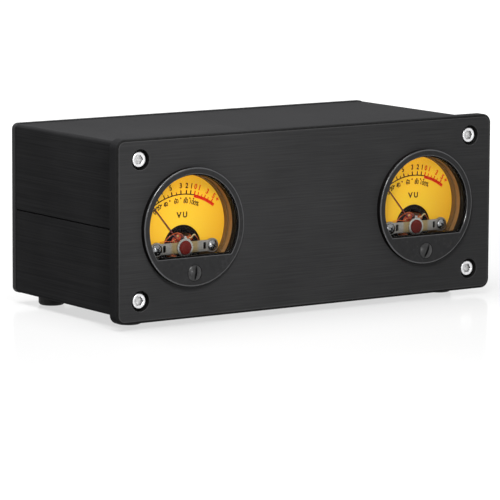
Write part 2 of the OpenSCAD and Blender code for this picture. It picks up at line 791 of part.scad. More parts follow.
module level_knob() {
    bore = shaft_r + thread_gap;
    placed() color([0.12, 0.12, 0.13]) translate([level_x, 0, level_z]) {
        difference() {
            union() {
                bar(knob_r, knob_front, knob_end - 0.6);
                bar(knob_r, knob_end - 0.6, knob_end, knob_r - 0.6);
            }
            bar(bore, knob_front - cut, knob_end - 1.5);
            for (i = [0:knob_flutes - 1]) rotate([0, i * 360 / knob_flutes, 0])
                translate([knob_r + 0.35, 0, 0]) bar(0.6, knob_front + 2, knob_end + cut);
            translate([-0.4, knob_end - 0.3, 0]) cube([0.8, 1, knob_r]);
        }
        bar(shaft_r, shell_back - 5.9, knob_end - 1.5);
    }
}
module switch_body() {
    placed() color([0.08, 0.08, 0.08]) translate([supply_x, 0, row_high]) difference() {
        union() {
            slab(rear_face, rear_face + switch_t) round_rect(switch_w, switch_h, 1);
            slab(shell_back - switch_d, rear_face + cut)
                square([switch_w - 2 * switch_rim - 0.2, switch_h - 2 * switch_rim - 0.2], center = true);
        }
        slab(rear_face - 4.5, rear_face + switch_t + cut)
            square([rocker_w + 2 * rocker_room, rocker_h + 1.6], center = true);
        translate([0, rocker_y, 0]) rotate([0, 90, 0])
            cylinder(r = rocker_pin_r + 0.05, h = rocker_w + 2.4, center = true);
    }
}
// The rocker, its upper side pressed in as when the box is switched on
module switch_rocker() {
    placed() color([0.06, 0.06, 0.06]) translate([supply_x, rocker_y, row_high]) rotate([rocker_angle, 0, 0]) {
        rotate([90, 0, 90]) linear_extrude(rocker_w, center = true)
            polygon([[-2.4, -2.2], [0.7, -rocker_h / 2], [1.9, -rocker_h / 2], [1.3, 0],
                     [1.9, rocker_h / 2], [0.7, rocker_h / 2], [-2.4, 2.2]]);
        rotate([0, 90, 0]) cylinder(r = rocker_pin_r, h = rocker_w + 2, center = true);
    }
}

// ---- Meter front ----

// The window's outline: a circle with a straight lower edge
module window_shape(r, drop) {
    intersection() {
        circle(r);
        translate([-r, -drop]) square([2 * r, drop + r]);
    }
}
module bezel(side) {
    hole_r = window_r - ledge_w;
    at_meter(side) color([0.08, 0.08, 0.09]) difference() {
        union() {
            translate([0, bezel_face, 0]) rotate([-90, 0, 0])
                rotate_extrude() half_section(bezel_r, bezel_proud, bezel_edge_r);
            bar(cup_r, -lap, barrel_l);
        }
        slab(bezel_face - cut, barrel_l + cut) window_shape(hole_r, window_drop - ledge_w);
        slab(bezel_face - cut, lens_back) window_shape(window_r, window_drop);
        bar(hole_r, apron_back, barrel_l + cut);
        translate([0, 0, -zero_drop]) {
            bar(zero_head_r + zero_gap + 0.04, bezel_face - cut, zero_seat);
            bar(zero_shank_r + zero_gap, bezel_face - cut, barrel_l);
        }
    }
}
module lens(side) {
    at_meter(side) color([0.85, 0.9, 0.92, 0.35]) slab(bezel_face + lens_step, lens_back)
        window_shape(window_r - lens_gap, window_drop - lens_gap);
}
module housing(side) {
    at_meter(side) color([0.78, 0.62, 0.4]) {
        difference() {
            union() {
                bar(cup_r, barrel_l, cup_back);
                bar(flange_r, panel_t, panel_t + flange_t);
            }
            bar(cup_inner_r, barrel_l - cut, cup_inside);
            for (x = sides) translate([x * terminal_x, 0, terminal_z])
                bar(terminal_r, cup_inside - cut, cup_back + cut);
        }
        for (x = sides) translate([x * stake_x, 0, stake_z]) {
            bar(2, lamp_board_y + lamp_board_t, cup_inside + lap);
            bar(stake_r, lamp_board_y - 0.5, cup_inside + lap);
        }
    }
}
module dial(side) {
    r = cup_inner_r - dial_gap;
    at_meter(side) color([0.98, 0.72, 0.15]) difference() {
        union() {
            bar(r, dial_y, dial_y + dial_t);
            tube(r, r - dial_rim_w, dial_y - dial_rim_h, dial_y + lap);
        }
        translate([0, 0, -pivot_drop]) {
            bar(opening_r, dial_y - cut, dial_y + dial_t + cut);
            for (x = sides) translate([x * post_x, 0, 0]) bar(post_r - 0.75, dial_y - cut, dial_y + 2);
        }
        slab(dial_y - dial_rim_h - cut, dial_y + dial_t + cut) {
            translate([-r - cut, -r - cut]) square([2 * r + 2 * cut, r + cut - pivot_drop - dial_drop]);
            translate([-opening_r, -r]) square([2 * opening_r, r - pivot_drop]);
        }
    }
}
// A crescent board with three lamps that shine forward on the dial's back
module lamp_board(side) {
    low = 4;
    at_meter(side) color([0.9, 0.92, 0.9]) {
        slab(lamp_board_y, lamp_board_y + lamp_board_t) difference() {
            circle(cup_inner_r - 0.6);
            translate([-cup_r, -cup_r - cut]) square([2 * cup_r, cup_r + cut + low]);
            for (x = sides) translate([x * stake_x, stake_z]) circle(stake_r + thread_gap);
            for (x = sides) translate([x * terminal_x, terminal_z]) circle(terminal_r + 0.6);
        }
        for (x = [-12, 0, 12]) translate([x - 1.75, lamp_board_y - 1.9, 6 + (x == 0 ? 5 : 0)])
            cube([3.5, 2, 2.8]);
    }
}
module terminals(side) {
    at_meter(side) color([0.8, 0.65, 0.3]) for (x = sides) translate([x * terminal_x, 0, terminal_z]) {
        bar(terminal_r, cup_inside - 1.2, cup_back + terminal_l);
        slab(cup_back, cup_back + terminal_nut_t) hexagon(terminal_nut_af);
    }
}

// ---- Movement ----

// The frame: web, two posts, a collar for the yoke and two tongues for the core
module movement_frame(side) {
    tongue_half = 16;
    collar_r = yoke_r + 1.4;
    nose_r = post_r - 0.8;
    at_pivot(side) color([0.16, 0.16, 0.17]) difference() {
        union() {
            slab(web_front, web_back) difference() {
                union() {
                    circle(collar_r);
                    square([2 * post_x, 8], center = true);
                }
                circle(yoke_bore);
            }
            tube(collar_r, yoke_r + thread_gap, web_front - 4, web_front + lap);
            slab(web_front - 6.5, web_back) intersection() {
                difference() {
                    circle(yoke_bore);
                    circle(core_r);
                }
                for (s = sides) scale([1, s]) polygon([[0, 0], [-sin(tongue_half) * 9, 9],
                                                       [sin(tongue_half) * 9, 9]]);
            }
            for (x = sides) translate([x * post_x, 0, 0]) {
                bar(post_r, dial_y + dial_t, cup_inside);
                bar(nose_r, bridge_back, dial_y + dial_t + lap);
            }
            for (x = sides) translate([x * rear_post_x, 0, 0]) bar(1.6, web_back - lap, rear_bar_front);
        }
        for (x = sides) translate([x * post_x, 0, 0])
            bar(bridge_thread_r + thread_gap, bridge_back - cut, bridge_back + 5);
        for (x = sides) translate([x * rear_post_x, 0, 0])
            bar(bridge_thread_r + thread_gap, web_front - 1, rear_bar_front + cut);
        tube(yoke_r + thread_gap, yoke_bore, web_front - yoke_l, web_front);
    }
}
module magnet_core(side) {
    mid = (coil_front + coil_back) / 2;
    at_pivot(side) color([0.5, 0.51, 0.54]) bar(core_r, mid - core_l / 2, mid + core_l / 2);
}
module yoke_ring(side) {
    at_pivot(side) color([0.6, 0.6, 0.62]) tube(yoke_r, yoke_bore, web_front - yoke_l, web_front);
}
// The bar that carries the front jewel, with two slots and round ends
module front_bridge(side) {
    end_r = bridge_h / 2;
    at_pivot(side) color([0.72, 0.7, 0.66]) slab(bridge_front, bridge_back) difference() {
        union() {
            square([2 * post_x, bridge_h], center = true);
            for (x = sides) translate([x * post_x, 0]) circle(end_r + 0.6);
            circle(jewel_head_r + 0.2);
        }
        circle(jewel_r + thread_gap);
        for (x = sides) {
            translate([x * post_x, 0]) circle(bridge_thread_r + thread_gap);
            translate([x * (post_x - 3.3), 0]) square([1.2, bridge_h - 1.6], center = true);
        }
    }
}
module rear_bridge(side) {
    at_pivot(side) color([0.72, 0.7, 0.66]) slab(rear_bar_front, rear_bar_front + bridge_t) difference() {
        round_rect(2 * rear_post_x + 4, bridge_h, 1);
        circle(jewel_r + thread_gap);
        for (x = sides) translate([x * rear_post_x, 0]) circle(bridge_thread_r + thread_gap);
    }
}
// Pan-head screws with a cross slot: two through each front bridge, two through each rear one
module bridge_screw(l) {
    head = 1.05;
    difference() {
        union() {
            translate([0, head - 0.5, 0]) cap(bridge_head_r, head - 0.5);
            bar(bridge_head_r, head - 0.5, head);
            bar(bridge_thread_r, head - lap, head + l);
        }
        cross_slot(2.2, 0.45, 0.6);
    }
}
module bridge_screws() {
    color([0.8, 0.8, 0.82]) for (side = sides, x = sides) at_pivot(side) {
        translate([x * post_x, bridge_front - 1.05, 0]) bridge_screw(bridge_t + 4.5);
        translate([x * rear_post_x, rear_bar_front + bridge_t + 1.05, 0])
            mirror([0, 1, 0]) bridge_screw(bridge_t + 1.4);
    }
}
// The threaded jewel that holds the front pivot, its head sealed with red lacquer
module front_jewel(side) {
    head_front = jewel_back - jewel_head_t;
    at_pivot(side) color([0.5, 0.08, 0.09]) difference() {
        union() {
            bar(jewel_head_r, head_front + 0.2, jewel_back);
            bar(jewel_head_r - 0.2, head_front, head_front + 0.2, jewel_head_r);
            bar(jewel_r, jewel_back - lap, bridge_back);
        }
        bar(pivot_r + pivot_gap, bridge_back - 0.6, bridge_back + cut);
        slab(head_front - cut, head_front + 0.15) rotate(35) square([3.6, 0.5], center = true);
    }
}
module rear_jewel(side) {
    at_pivot(side) color([0.8, 0.68, 0.35]) difference() {
        union() {
            bar(jewel_r, rear_bar_front, rear_bar_front + bridge_t + 0.2);
            bar(1.9, rear_bar_front + bridge_t, rear_bar_front + bridge_t + 0.5);
        }
        bar(pivot_r + pivot_gap, rear_bar_front - cut, rear_bar_front + 0.6);
    }
}
// The moving coil round the core, with its staff, pivots and spring collets
module coil(side) {
    end_t = 0.9;
    at_coil(side) color([0.72, 0.38, 0.2]) {
        translate([0, coil_front + coil_l / 2, 0]) linear_extrude(coil_w, center = true) difference() {
            round_rect(2 * coil_out, coil_l, 0.8);
            round_rect(2 * coil_in, coil_l - 2 * end_t, 0.3);
        }
        bar(staff_r, staff_front, coil_front + lap);
        bar(collet_r, staff_front, pointer_front - 0.02);
        bar(pivot_r, bridge_back - 0.45, staff_front + lap);
        bar(staff_r, coil_back - lap, staff_back);
        bar(collet_r, web_back - lap, web_back + 0.25);
        bar(pivot_r, staff_back - lap, rear_bar_front + 0.45);
    }
}
// The needle, its hub, tail and side arms with small balance weights
module pointer(side) {
    root = 1.1;
    at_coil(side) color([0.25, 0.03, 0.02]) difference() {
        union() {
            slab(pointer_front, pointer_back) {
                circle(root);
                polygon([[-pointer_w / 2, 0], [-pointer_tip_w / 2, pointer_l],
                         [pointer_tip_w / 2, pointer_l], [pointer_w / 2, 0]]);
                for (a = [90, 180, 270]) rotate(a) translate([-0.2, 0]) square([0.4, tail_l]);
            }
            for (a = [90, 180, 270]) rotate([0, a, 0]) translate([0, 0, tail_l - 0.6])
                bar(weight_r, pointer_front, pointer_back + lap);
        }
        bar(staff_r, pointer_front - cut, pointer_back + cut);
    }
}
// A flat spiral from the collet out to radius end_r, as points along its middle
function spiral(start_r, end_r, turns, offset) =
    [for (i = [0:spiral_steps * turns]) let (a = 360 * i / spiral_steps,
        r = start_r + (end_r - start_r) * i / (spiral_steps * turns) + offset) r * [sin(a), cos(a)]];
function backwards(list) = [for (i = [len(list) - 1:-1:0]) list[i]];
module hairspring(start, end_r) {
    first_r = collet_r + spring_t / 2 + 0.02;
    slab(start, start + spring_h) polygon(concat(
        spiral(first_r, end_r, spring_turns, -spring_t / 2),
        backwards(spiral(first_r, end_r, spring_turns, spring_t / 2))));
}
module front_spring(side) {
    at_pivot(side) color([0.75, 0.6, 0.35]) hairspring(bridge_back + 0.08, lever_ring_r + 0.17);
}
module rear_spring(side) {
    at_pivot(side) color([0.75, 0.6, 0.35]) hairspring(web_back + 0.1, lever_ring_r);
}

// ---- Zero setting ----

// The lever turns on the front jewel, holds the spring's outer end, and is forked below
module zero_lever(side) {
    fork_half = pin_r + fork_gap;
    fork_low = fork_r + 1.7;
    post_z = lever_ring_r + 0.55;
    at_pivot(side) color([0.82, 0.82, 0.84]) {
        slab(lever_front, lever_front + lever_t) difference() {
            union() {
                circle(lever_ring_r);
                translate([-0.5, 0]) square([1, post_z + 0.3]);
                translate([-0.9, -fork_low + 3]) square([1.8, fork_low - 3]);
                translate([-1.6, -fork_low]) square([3.2, 3.8]);
            }
            circle(jewel_r + zero_gap);
            translate([-fork_half, -fork_low - cut]) square([2 * fork_half, 3.1 + cut]);
        }
        translate([-0.3, lever_front, post_z - 0.3])
            cube([0.6, bridge_back + 0.08 + spring_h - lever_front, 0.6]);
    }
}
module zero_screw(side) {
    clip_t = 0.5;
    angle = side < 0 ? slot_angle_left : slot_angle_right;
    pin_end = lever_front + lever_t + 0.3;
    at_meter(side) translate([0, 0, -zero_drop]) color([0.1, 0.1, 0.11]) {
        difference() {
            union() {
                translate([0, bezel_face, 0]) cap(zero_head_r, zero_dome);
                bar(zero_head_r, bezel_face, zero_seat - axial_gap);
                bar(zero_shank_r, bezel_face, apron_back + axial_gap);
                bar(zero_shank_r + 0.6, apron_back + axial_gap, apron_back + axial_gap + clip_t);
            }
            rotate([0, angle, 0]) slab(bezel_face - zero_dome - cut, bezel_face + lap)
                square([zero_slot_w, 2 * zero_head_r + 1], center = true);
        }
        translate([0, 0, pin_offset]) bar(pin_r, apron_back + clip_t, pin_end);
    }
}

front_panel();
panel_screws();
top_shell();
bottom_shell();
rear_panel();
rear_screws();
feet();
foot_screws();
driver_board();
board_parts();
board_screws();
leads();
signal_sockets();
socket_insulators();
socket_nuts();
supply_socket();
level_control();
level_knob();
switch_body();
switch_rocker();
bridge_screws();
bezel(-1);  // bezel_left
lens(-1);  // lens_left
housing(-1);  // housing_left
dial(-1);  // dial_left
lamp_board(-1);  // lamp_board_left
terminals(-1);  // terminals_left
movement_frame(-1);  // movement_frame_left
magnet_core(-1);  // magnet_core_left
yoke_ring(-1);  // yoke_ring_left
front_bridge(-1);  // front_bridge_left
rear_bridge(-1);  // rear_bridge_left
front_jewel(-1);  // front_jewel_left
rear_jewel(-1);  // rear_jewel_left
coil(-1);  // coil_left
pointer(-1);  // pointer_left
front_spring(-1);  // front_spring_left
rear_spring(-1);  // rear_spring_left
zero_lever(-1);  // zero_lever_left
zero_screw(-1);  // zero_screw_left
bezel(1);  // bezel_right
lens(1);  // lens_right
housing(1);  // housing_right
dial(1);  // dial_right
lamp_board(1);  // lamp_board_right
terminals(1);  // terminals_right
movement_frame(1);  // movement_frame_right
magnet_core(1);  // magnet_core_right
yoke_ring(1);  // yoke_ring_right
front_bridge(1);  // front_bridge_right
rear_bridge(1);  // rear_bridge_right
front_jewel(1);  // front_jewel_right
rear_jewel(1);  // rear_jewel_right
coil(1);  // coil_right
pointer(1);  // pointer_right
front_spring(1);  // front_spring_right
rear_spring(1);  // rear_spring_right
zero_lever(1);  // zero_lever_right
zero_screw(1);  // zero_screw_right
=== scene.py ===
import math

import bmesh
import bpy
from mathutils import Matrix, Vector
from mathutils.geometry import tessellate_polygon


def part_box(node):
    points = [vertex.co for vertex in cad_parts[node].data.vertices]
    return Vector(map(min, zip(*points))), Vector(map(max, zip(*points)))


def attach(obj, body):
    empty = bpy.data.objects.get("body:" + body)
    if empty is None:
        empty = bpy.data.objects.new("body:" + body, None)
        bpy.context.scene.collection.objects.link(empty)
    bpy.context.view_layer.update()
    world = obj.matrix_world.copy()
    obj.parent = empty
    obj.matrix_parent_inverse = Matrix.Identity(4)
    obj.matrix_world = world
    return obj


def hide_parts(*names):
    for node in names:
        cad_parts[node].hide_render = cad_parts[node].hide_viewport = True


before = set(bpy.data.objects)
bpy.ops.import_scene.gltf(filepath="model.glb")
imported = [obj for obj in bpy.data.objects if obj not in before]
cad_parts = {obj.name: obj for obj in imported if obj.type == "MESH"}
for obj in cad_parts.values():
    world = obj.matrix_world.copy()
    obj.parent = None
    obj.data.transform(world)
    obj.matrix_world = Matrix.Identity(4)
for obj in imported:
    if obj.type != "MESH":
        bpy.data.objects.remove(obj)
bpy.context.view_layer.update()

# ---- Camera ----
# A long lens to the front left of the box, a little above its lid. It looks slightly down between
# the two meters, so the left side and the top are seen as narrow faces.
camera_place = Vector((-0.77424, -1.128225, 0.214345))
camera_yaw = math.radians(34.581)
camera_pitch = math.radians(8.169)
camera_roll = math.radians(0.25)
sensor = 36.0
lens_per_sensor = 3621.6 / 500

ahead = Vector((math.sin(camera_yaw) * math.cos(camera_pitch),
                math.cos(camera_yaw) * math.cos(camera_pitch), -math.sin(camera_pitch)))
level = Vector((math.cos(camera_yaw), -math.sin(camera_yaw), 0))
upright = level.cross(ahead)
across = math.cos(camera_roll) * level + math.sin(camera_roll) * upright
above = math.cos(camera_roll) * upright - math.sin(camera_roll) * level
camera = bpy.data.objects.new("camera", bpy.data.cameras.new("camera"))
camera.data.sensor_width = sensor
camera.data.lens = lens_per_sensor * sensor
camera.matrix_world = Matrix((
    (across.x, above.x, -ahead.x, camera_place.x),
    (across.y, above.y, -ahead.y, camera_place.y),
    (across.z, above.z, -ahead.z, camera_place.z),
    (0, 0, 0, 1)))
bpy.context.scene.collection.objects.link(camera)
bpy.context.scene.camera = camera
bpy.context.scene.view_settings.view_transform = "Standard"

# ---- Floor and light ----
# A white table and a white room, as in a catalogue picture. The table keeps the box's soft shadow; a
# broad lamp hangs over the lid, and two small ones light the panel's left end and the meters.
floor_reach, floor_under, floor_edges = 4.0, 0.00005, 96
floor_near, floor_far, floor_glow = 0.12, 0.60, 0.64
floor_paint, floor_shine, floor_rough = 0.20, 0.12, 0.12
room_level = 0.12
lamp_aim = Vector((0, -0.02, 0.03))
lid_lamp = {"place": (-0.14, 0.05, 0.70), "size": 0.7, "power": 7.5}
panel_lamp = {"place": (-0.13, -0.24, 0.20), "size": 0.08, "power": 0.42}
front_lamp = {"place": (-0.10, -0.55, 0.10), "size": 0.08, "power": 0.26}


def connect(tree, node, sockets):
    """Gives a node's sockets, by name or by number, a value, another socket or a node's first output"""
    for socket, source in sockets.items():
        if isinstance(source, bpy.types.Node):
            source = source.outputs[0]
        if isinstance(source, bpy.types.NodeSocket):
            tree.links.new(source, node.inputs[socket])
        else:
            node.inputs[socket].default_value = source
    return node


def add(tree, kind, sockets=None, **settings):
    node = tree.nodes.new(kind)
    for label, value in settings.items():
        setattr(node, label, value)
    return connect(tree, node, sockets or {})


def maths(tree, operation, *sources):
    """A node for one sum on sockets, nodes or numbers"""
    return add(tree, "ShaderNodeMath", dict(enumerate(sources)), operation=operation)


def grey(level):
    return (level, level, level, 1)


def new_material(name, bare=False):
    """A material and its tree, empty or with the usual shader"""
    material = bpy.data.materials.new(name)
    material.use_nodes = True
    if bare:
        material.node_tree.nodes.clear()
    return material, material.node_tree


def seen_white(tree):
    """1 for rays that look at a surface straight, in a reflection or through glass"""
    rays = add(tree, "ShaderNodeLightPath").outputs
    straight = maths(tree, "MAXIMUM", rays["Is Camera Ray"], rays["Is Glossy Ray"])
    return maths(tree, "MAXIMUM", straight, rays["Is Transmission Ray"])


room = bpy.data.worlds.new("room")
room.use_nodes = True
tree = room.node_tree
brightness = add(tree, "ShaderNodeMapRange", {"Value": seen_white(tree), "To Min": room_level, "To Max": 1.0})
connect(tree, tree.nodes["Background"], {"Color": grey(1), "Strength": brightness})
bpy.context.scene.world = room

table_white, tree = new_material("table_white", bare=True)
where = add(tree, "ShaderNodeTexCoord")
distance = add(tree, "ShaderNodeVectorMath", {0: where.outputs["Object"]}, operation="LENGTH")
fade = add(tree, "ShaderNodeMapRange", {
    "Value": distance.outputs["Value"], "From Min": floor_near, "From Max": floor_far,
    "To Min": floor_glow, "To Max": 1.0}, interpolation_type="SMOOTHSTEP")
only_seen = maths(tree, "MULTIPLY", fade, seen_white(tree))
glow = add(tree, "ShaderNodeEmission", {"Strength": only_seen})
paint = add(tree, "ShaderNodeBsdfDiffuse", {"Color": grey(floor_paint)})
polish = add(tree, "ShaderNodeBsdfGlossy", {"Color": grey(floor_shine), "Roughness": floor_rough})
both = add(tree, "ShaderNodeAddShader", {0: glow, 1: paint})
all_three = add(tree, "ShaderNodeAddShader", {0: both, 1: polish})
add(tree, "ShaderNodeOutputMaterial", {"Surface": all_three})

table_mesh = bpy.data.meshes.new("table")
rim_points = [(floor_reach * math.sin(math.tau * k / floor_edges),
               floor_reach * math.cos(math.tau * k / floor_edges), -floor_under)
              for k in range(floor_edges)]
table_mesh.from_pydata(rim_points, [], [list(range(floor_edges))[::-1]])
table_mesh.materials.append(table_white)
table_top = bpy.data.objects.new("table", table_mesh)
bpy.context.scene.collection.objects.link(table_top)

for lamp_name, lamp in (("lid_lamp", lid_lamp), ("panel_lamp", panel_lamp), ("front_lamp", front_lamp)):
    light = bpy.data.lights.new(lamp_name, "AREA")
    light.shape = "DISK"
    light.size = lamp["size"]
    light.energy = lamp["power"]
    stand = bpy.data.objects.new(lamp_name, light)
    stand.location = lamp["place"]
    stand.visible_camera = False
    aim = lamp_aim - Vector(lamp["place"])
    stand.rotation_mode = "QUATERNION"
    stand.rotation_quaternion = aim.to_track_quat("-Z", "Y")
    bpy.context.scene.collection.objects.link(stand)

# ---- Front panel ----
# A thick aluminium plate, brushed along its length and anodised black. Its front edge is worn round,
# two holes take the meters, and four counterbores take the screws that hold it on the shell. A light
# line along the face's edge and on the counterbores' chamfers is a painted highlight; the round, the
# counterbores' walls and the sides are painted darker as shade.
mm = 0.001
crease = math.radians(32)


def ring(bm, points):
    return [bm.verts.new(point) for point in points]


def band(bm, *rings, slot=0):
    """Walls from each closed ring of points to the next; a ring of one point is a pole. The slot
    says which of the piece's materials they take"""
    part = bm.faces.layers.int.get("part") if slot else None
    for near, far in zip(rings, rings[1:]):
        for k in range(max(len(near), len(far))):
            corners = []
            for corner in (near[(k - 1) % len(near)], near[k % len(near)],
                           far[k % len(far)], far[(k - 1) % len(far)]):
                if corner not in corners:
                    corners.append(corner)
            wall = bm.faces.new(corners)
            if slot:
                wall[part] = slot


def flat(bm, outer, holes=()):
    """A flat face inside a ring and round its holes, crisp where it meets their walls"""
    rings = [outer, *holes]
    corners = [corner for one in rings for corner in one]
    for three in tessellate_polygon([[corner.co for corner in one] for one in rings]):
        bm.faces.new([corners[k] for k in three])
    for one in rings:
        for k in range(len(one)):
            edge = bm.edges.get((one[k - 1], one[k]))
            if edge:
                edge.smooth = False


def circle(r, x=0.0, z=0.0, steps=72, start=0.0):
    return [(x + r * math.sin(start + math.tau * k / steps), z + r * math.cos(start + math.tau * k / steps))
            for k in range(steps)]


def arc(r, x, z, low, high, steps):
    """Points on a circle from one clock angle in degrees to another"""
    angles = [math.radians(low + (high - low) * k / steps) for k in range(steps + 1)]
    return [(x + r * math.sin(a), z + r * math.cos(a)) for a in angles]


def round_rectangle(w, h, r, x=0.0, z=0.0, steps=8):
    corners = ((1, 1, 0), (1, -1, 90), (-1, -1, 180), (-1, 1, 270))
    return [point for sx, sz, a in corners
            for point in arc(r, x + sx * (w / 2 - r), z + sz * (h / 2 - r), a, a + 90, steps)]


def offset(points, by):
    """The same outline moved outwards by a distance"""
    turn = sum(a[0] * b[1] - b[0] * a[1] for a, b in zip(points, points[1:] + points[:1]))
    moved = []
    for k, point in enumerate(points):
        before, after = points[k - 1], points[(k + 1) % len(points)]
        one = Vector((point[0] - before[0], point[1] - before[1])).normalized()
        two = Vector((after[0] - point[0], after[1] - point[1])).normalized()
        out = Vector((one.y + two.y, -one.x - two.x))
        if out.length < 1e-6:
            out = Vector((one.y, -one.x))
        out.normalize()
        stretch = by / max(0.5, out.dot(Vector((one.y, -one.x)))) * (1 if turn > 0 else -1)
        moved.append((point[0] + out.x * stretch, point[1] + out.y * stretch))
    return moved


def at_depth(points, y):
    return [(x, y, z) for x, z in points]


def edge_lines(size, rounds):
    """How far in and how far back each line of a rounded edge lies"""
    turns = [math.pi / 2 * k / rounds for k in range(rounds + 1)]
    return [(size * (1 - math.sin(t)), size * (1 - math.cos(t))) for t in turns]


def plate(bm, outline, holes, front, back, edge, rounds=1):
    """A flat plate from depth front to depth back, with its front edges broken or rounded"""
    walls = []
    for k, points in enumerate([outline, *holes]):
        inward = -1 if k == 0 else 1
        rings = [ring(bm, at_depth(offset(points, inward * step), front + deep))
                 for step, deep in edge_lines(edge, rounds)]
        rings.append(ring(bm, at_depth(points, back)))
        band(bm, *rings)
        walls.append((rings[0], rings[-1]))
    for end in (0, 1):
        flat(bm, walls[0][end], [wall[end] for wall in walls[1:]])


def round_ring(bm, r, y, x=0.0, z=0.0, steps=72):
    return ring(bm, at_depth(circle(r, x, z, steps), y))


def turned(bm, profile, x=0.0, z=0.0, steps=72):
    """A shape turned about an axis along Y, from points of radius and depth; one that starts off
    the axis is a closed tube"""
    rings = [round_ring(bm, r, y, x, z, steps) if r > 0 else ring(bm, [(x, y, z)]) for r, y in profile]
    band(bm, *rings)
    if profile[0][0] > 0:
        band(bm, rings[-1], rings[0])


def parted():
    """A drawing whose faces may take different materials"""
    bm = bmesh.new()
    bm.faces.layers.int.new("part")
    return bm


def made(bm, name, material, place=(0, 0, 0), turn=0.0, others=()):
    """A piece from a mesh that was drawn in millimetres about its own place. A mesh of several
    materials says which face takes which in a layer named part"""
    bmesh.ops.remove_doubles(bm, verts=bm.verts, dist=1e-5)
    bmesh.ops.recalc_face_normals(bm, faces=bm.faces)
    for face in bm.faces:
        face.smooth = True
    for edge in bm.edges:
        if edge.is_manifold and edge.calc_face_angle() > crease:
            edge.smooth = False
    bm.transform(Matrix.Translation(place) @ Matrix.Rotation(turn, 4, "Y") @ Matrix.Scale(mm, 4))
    mesh = bpy.data.meshes.new(name)
    bm.to_mesh(mesh)
    bm.free()
    mesh.materials.clear()
    for one in (material, *others):
        mesh.materials.append(one)
    if others:
        mesh.polygons.foreach_set("material_index", [face.value for face in mesh.attributes["part"].data])
    piece = bpy.data.objects.new(name, mesh)
    bpy.context.scene.collection.objects.link(piece)
    return piece


def ramp(tree, source, *steps):
    """A colour for each value of a source, from steps of value and colour"""
    tone = add(tree, "ShaderNodeValToRGB", {"Fac": source})
    while len(tone.color_ramp.elements) < len(steps):
        tone.color_ramp.elements.new(0.5)
    for step, (place, colour) in zip(tone.color_ramp.elements, steps):
        step.position = place
        step.color = (*colour, 1)
    return tone


def finish(name, dark, pale, grain, rough, bump, metal=0.0, gloss=0.5, coat=0.0, patches=40.0):
    """A surface whose tone, gloss and height follow a fine grain over broad, faint patches. One
    number is a grey, or a grain that is the same each way; the bump is in millimetres"""
    dark, pale, grain = (value if isinstance(value, tuple) else (value,) * 3 for value in (dark, pale, grain))
    low, high, broad_share = 0.3, 0.7, 0.35
    material, tree = new_material(name)
    where = add(tree, "ShaderNodeTexCoord").outputs["Object"]
    run = add(tree, "ShaderNodeMapping", {"Vector": where, "Scale": grain})
    fine = add(tree, "ShaderNodeTexNoise", {"Vector": run, "Scale": 1.0, "Detail": 5.0})
    broad = add(tree, "ShaderNodeTexNoise", {"Vector": where, "Scale": patches, "Detail": 2.0})
    mix = add(tree, "ShaderNodeMix", {"Factor": broad_share, "A": fine, "B": broad})
    dullness = add(tree, "ShaderNodeMapRange", {
        "Value": mix, "From Min": low, "From Max": high, "To Min": rough[0], "To Max": rough[1]})
    height = add(tree, "ShaderNodeBump", {"Strength": 1.0, "Distance": bump * mm, "Height": fine})
    connect(tree, tree.nodes["Principled BSDF"], {
        "Base Color": ramp(tree, mix, (low, dark), (high, pale)), "Roughness": dullness,
        "Normal": height, "Metallic": metal, "Specular IOR Level": gloss,
        "Coat Weight": coat, "Coat Roughness": 0.06})
    return material


panel_low, panel_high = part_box("front_panel")
panel_w, panel_t, panel_h = (panel_high - panel_low) / mm
panel_place = Vector(((panel_low.x + panel_high.x) / 2, panel_low.y, (panel_low.z + panel_high.z) / 2))
screws_low, screws_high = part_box("panel_screws")
head_r = 2.85
recess_r, recess_d, bore_r = 3.8, 2.3, 1.5
recess_slope, back_edge, hole_edge = 0.12, 0.15, 0.1
screw_x = (screws_high.x - screws_low.x) / mm / 2 - head_r
screw_z = (screws_high.z - screws_low.z) / mm / 2 - head_r
screw_mid = (screws_low.z + screws_high.z) / 2
meter_hole_r = 20.75
corner_r, worn_r = 3.5, 0.9


def centre_of(node):
    low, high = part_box(node)
    return (low + high) / 2


panel_black = finish("panel_black", (0.035, 0.035, 0.036), (0.056, 0.056, 0.057), (45, 2600, 2600),
                     (0.34, 0.46), 0.003, gloss=0.03)
# Painted shade: a darker colour for the inner bands of the rounded front edge and the counterbores' walls,
# floors and bores.
round_shade = finish("round_shade", 0.012, 0.022, 900, (0.40, 0.52), 0.002, gloss=0.02)
# Painted highlight: a lighter colour for a thin strip of the face along the round and for the counterbores'
# chamfers.
highlight_line = finish("highlight_line", (0.058, 0.058, 0.059), (0.085, 0.085, 0.086), 700, (0.30, 0.42), 0.002,
                   gloss=0.05)
# Painted shade: the sides and the outer part of the round are darker than the face.
side_shade = finish("side_shade", (0.019, 0.019, 0.020), (0.031, 0.031, 0.032), (45, 2600, 2600),
                    (0.42, 0.58), 0.003, gloss=0.002)
shaded_rounds, highlight_w = 5, 0.3
bm = parted()
outline = round_rectangle(panel_w, panel_h, corner_r, steps=10)
sides = [ring(bm, at_depth(offset(outline, -worn_r - highlight_w), 0))]
sides += [ring(bm, at_depth(offset(outline, -step), deep)) for step, deep in edge_lines(worn_r, 8)]
# The strip of face next to the round takes the painted highlight, the round's first bands the painted shade,
# the rest of the round and the sides the sides' painted shade.
band(bm, *sides[:2], slot=2)
band(bm, *sides[1:shaded_rounds + 2], slot=1)
sides.append(ring(bm, at_depth(outline, panel_t - back_edge)))
sides.append(ring(bm, at_depth(offset(outline, -back_edge), panel_t)))
band(bm, *sides[shaded_rounds + 1:], slot=3)
fronts, backs = [], []
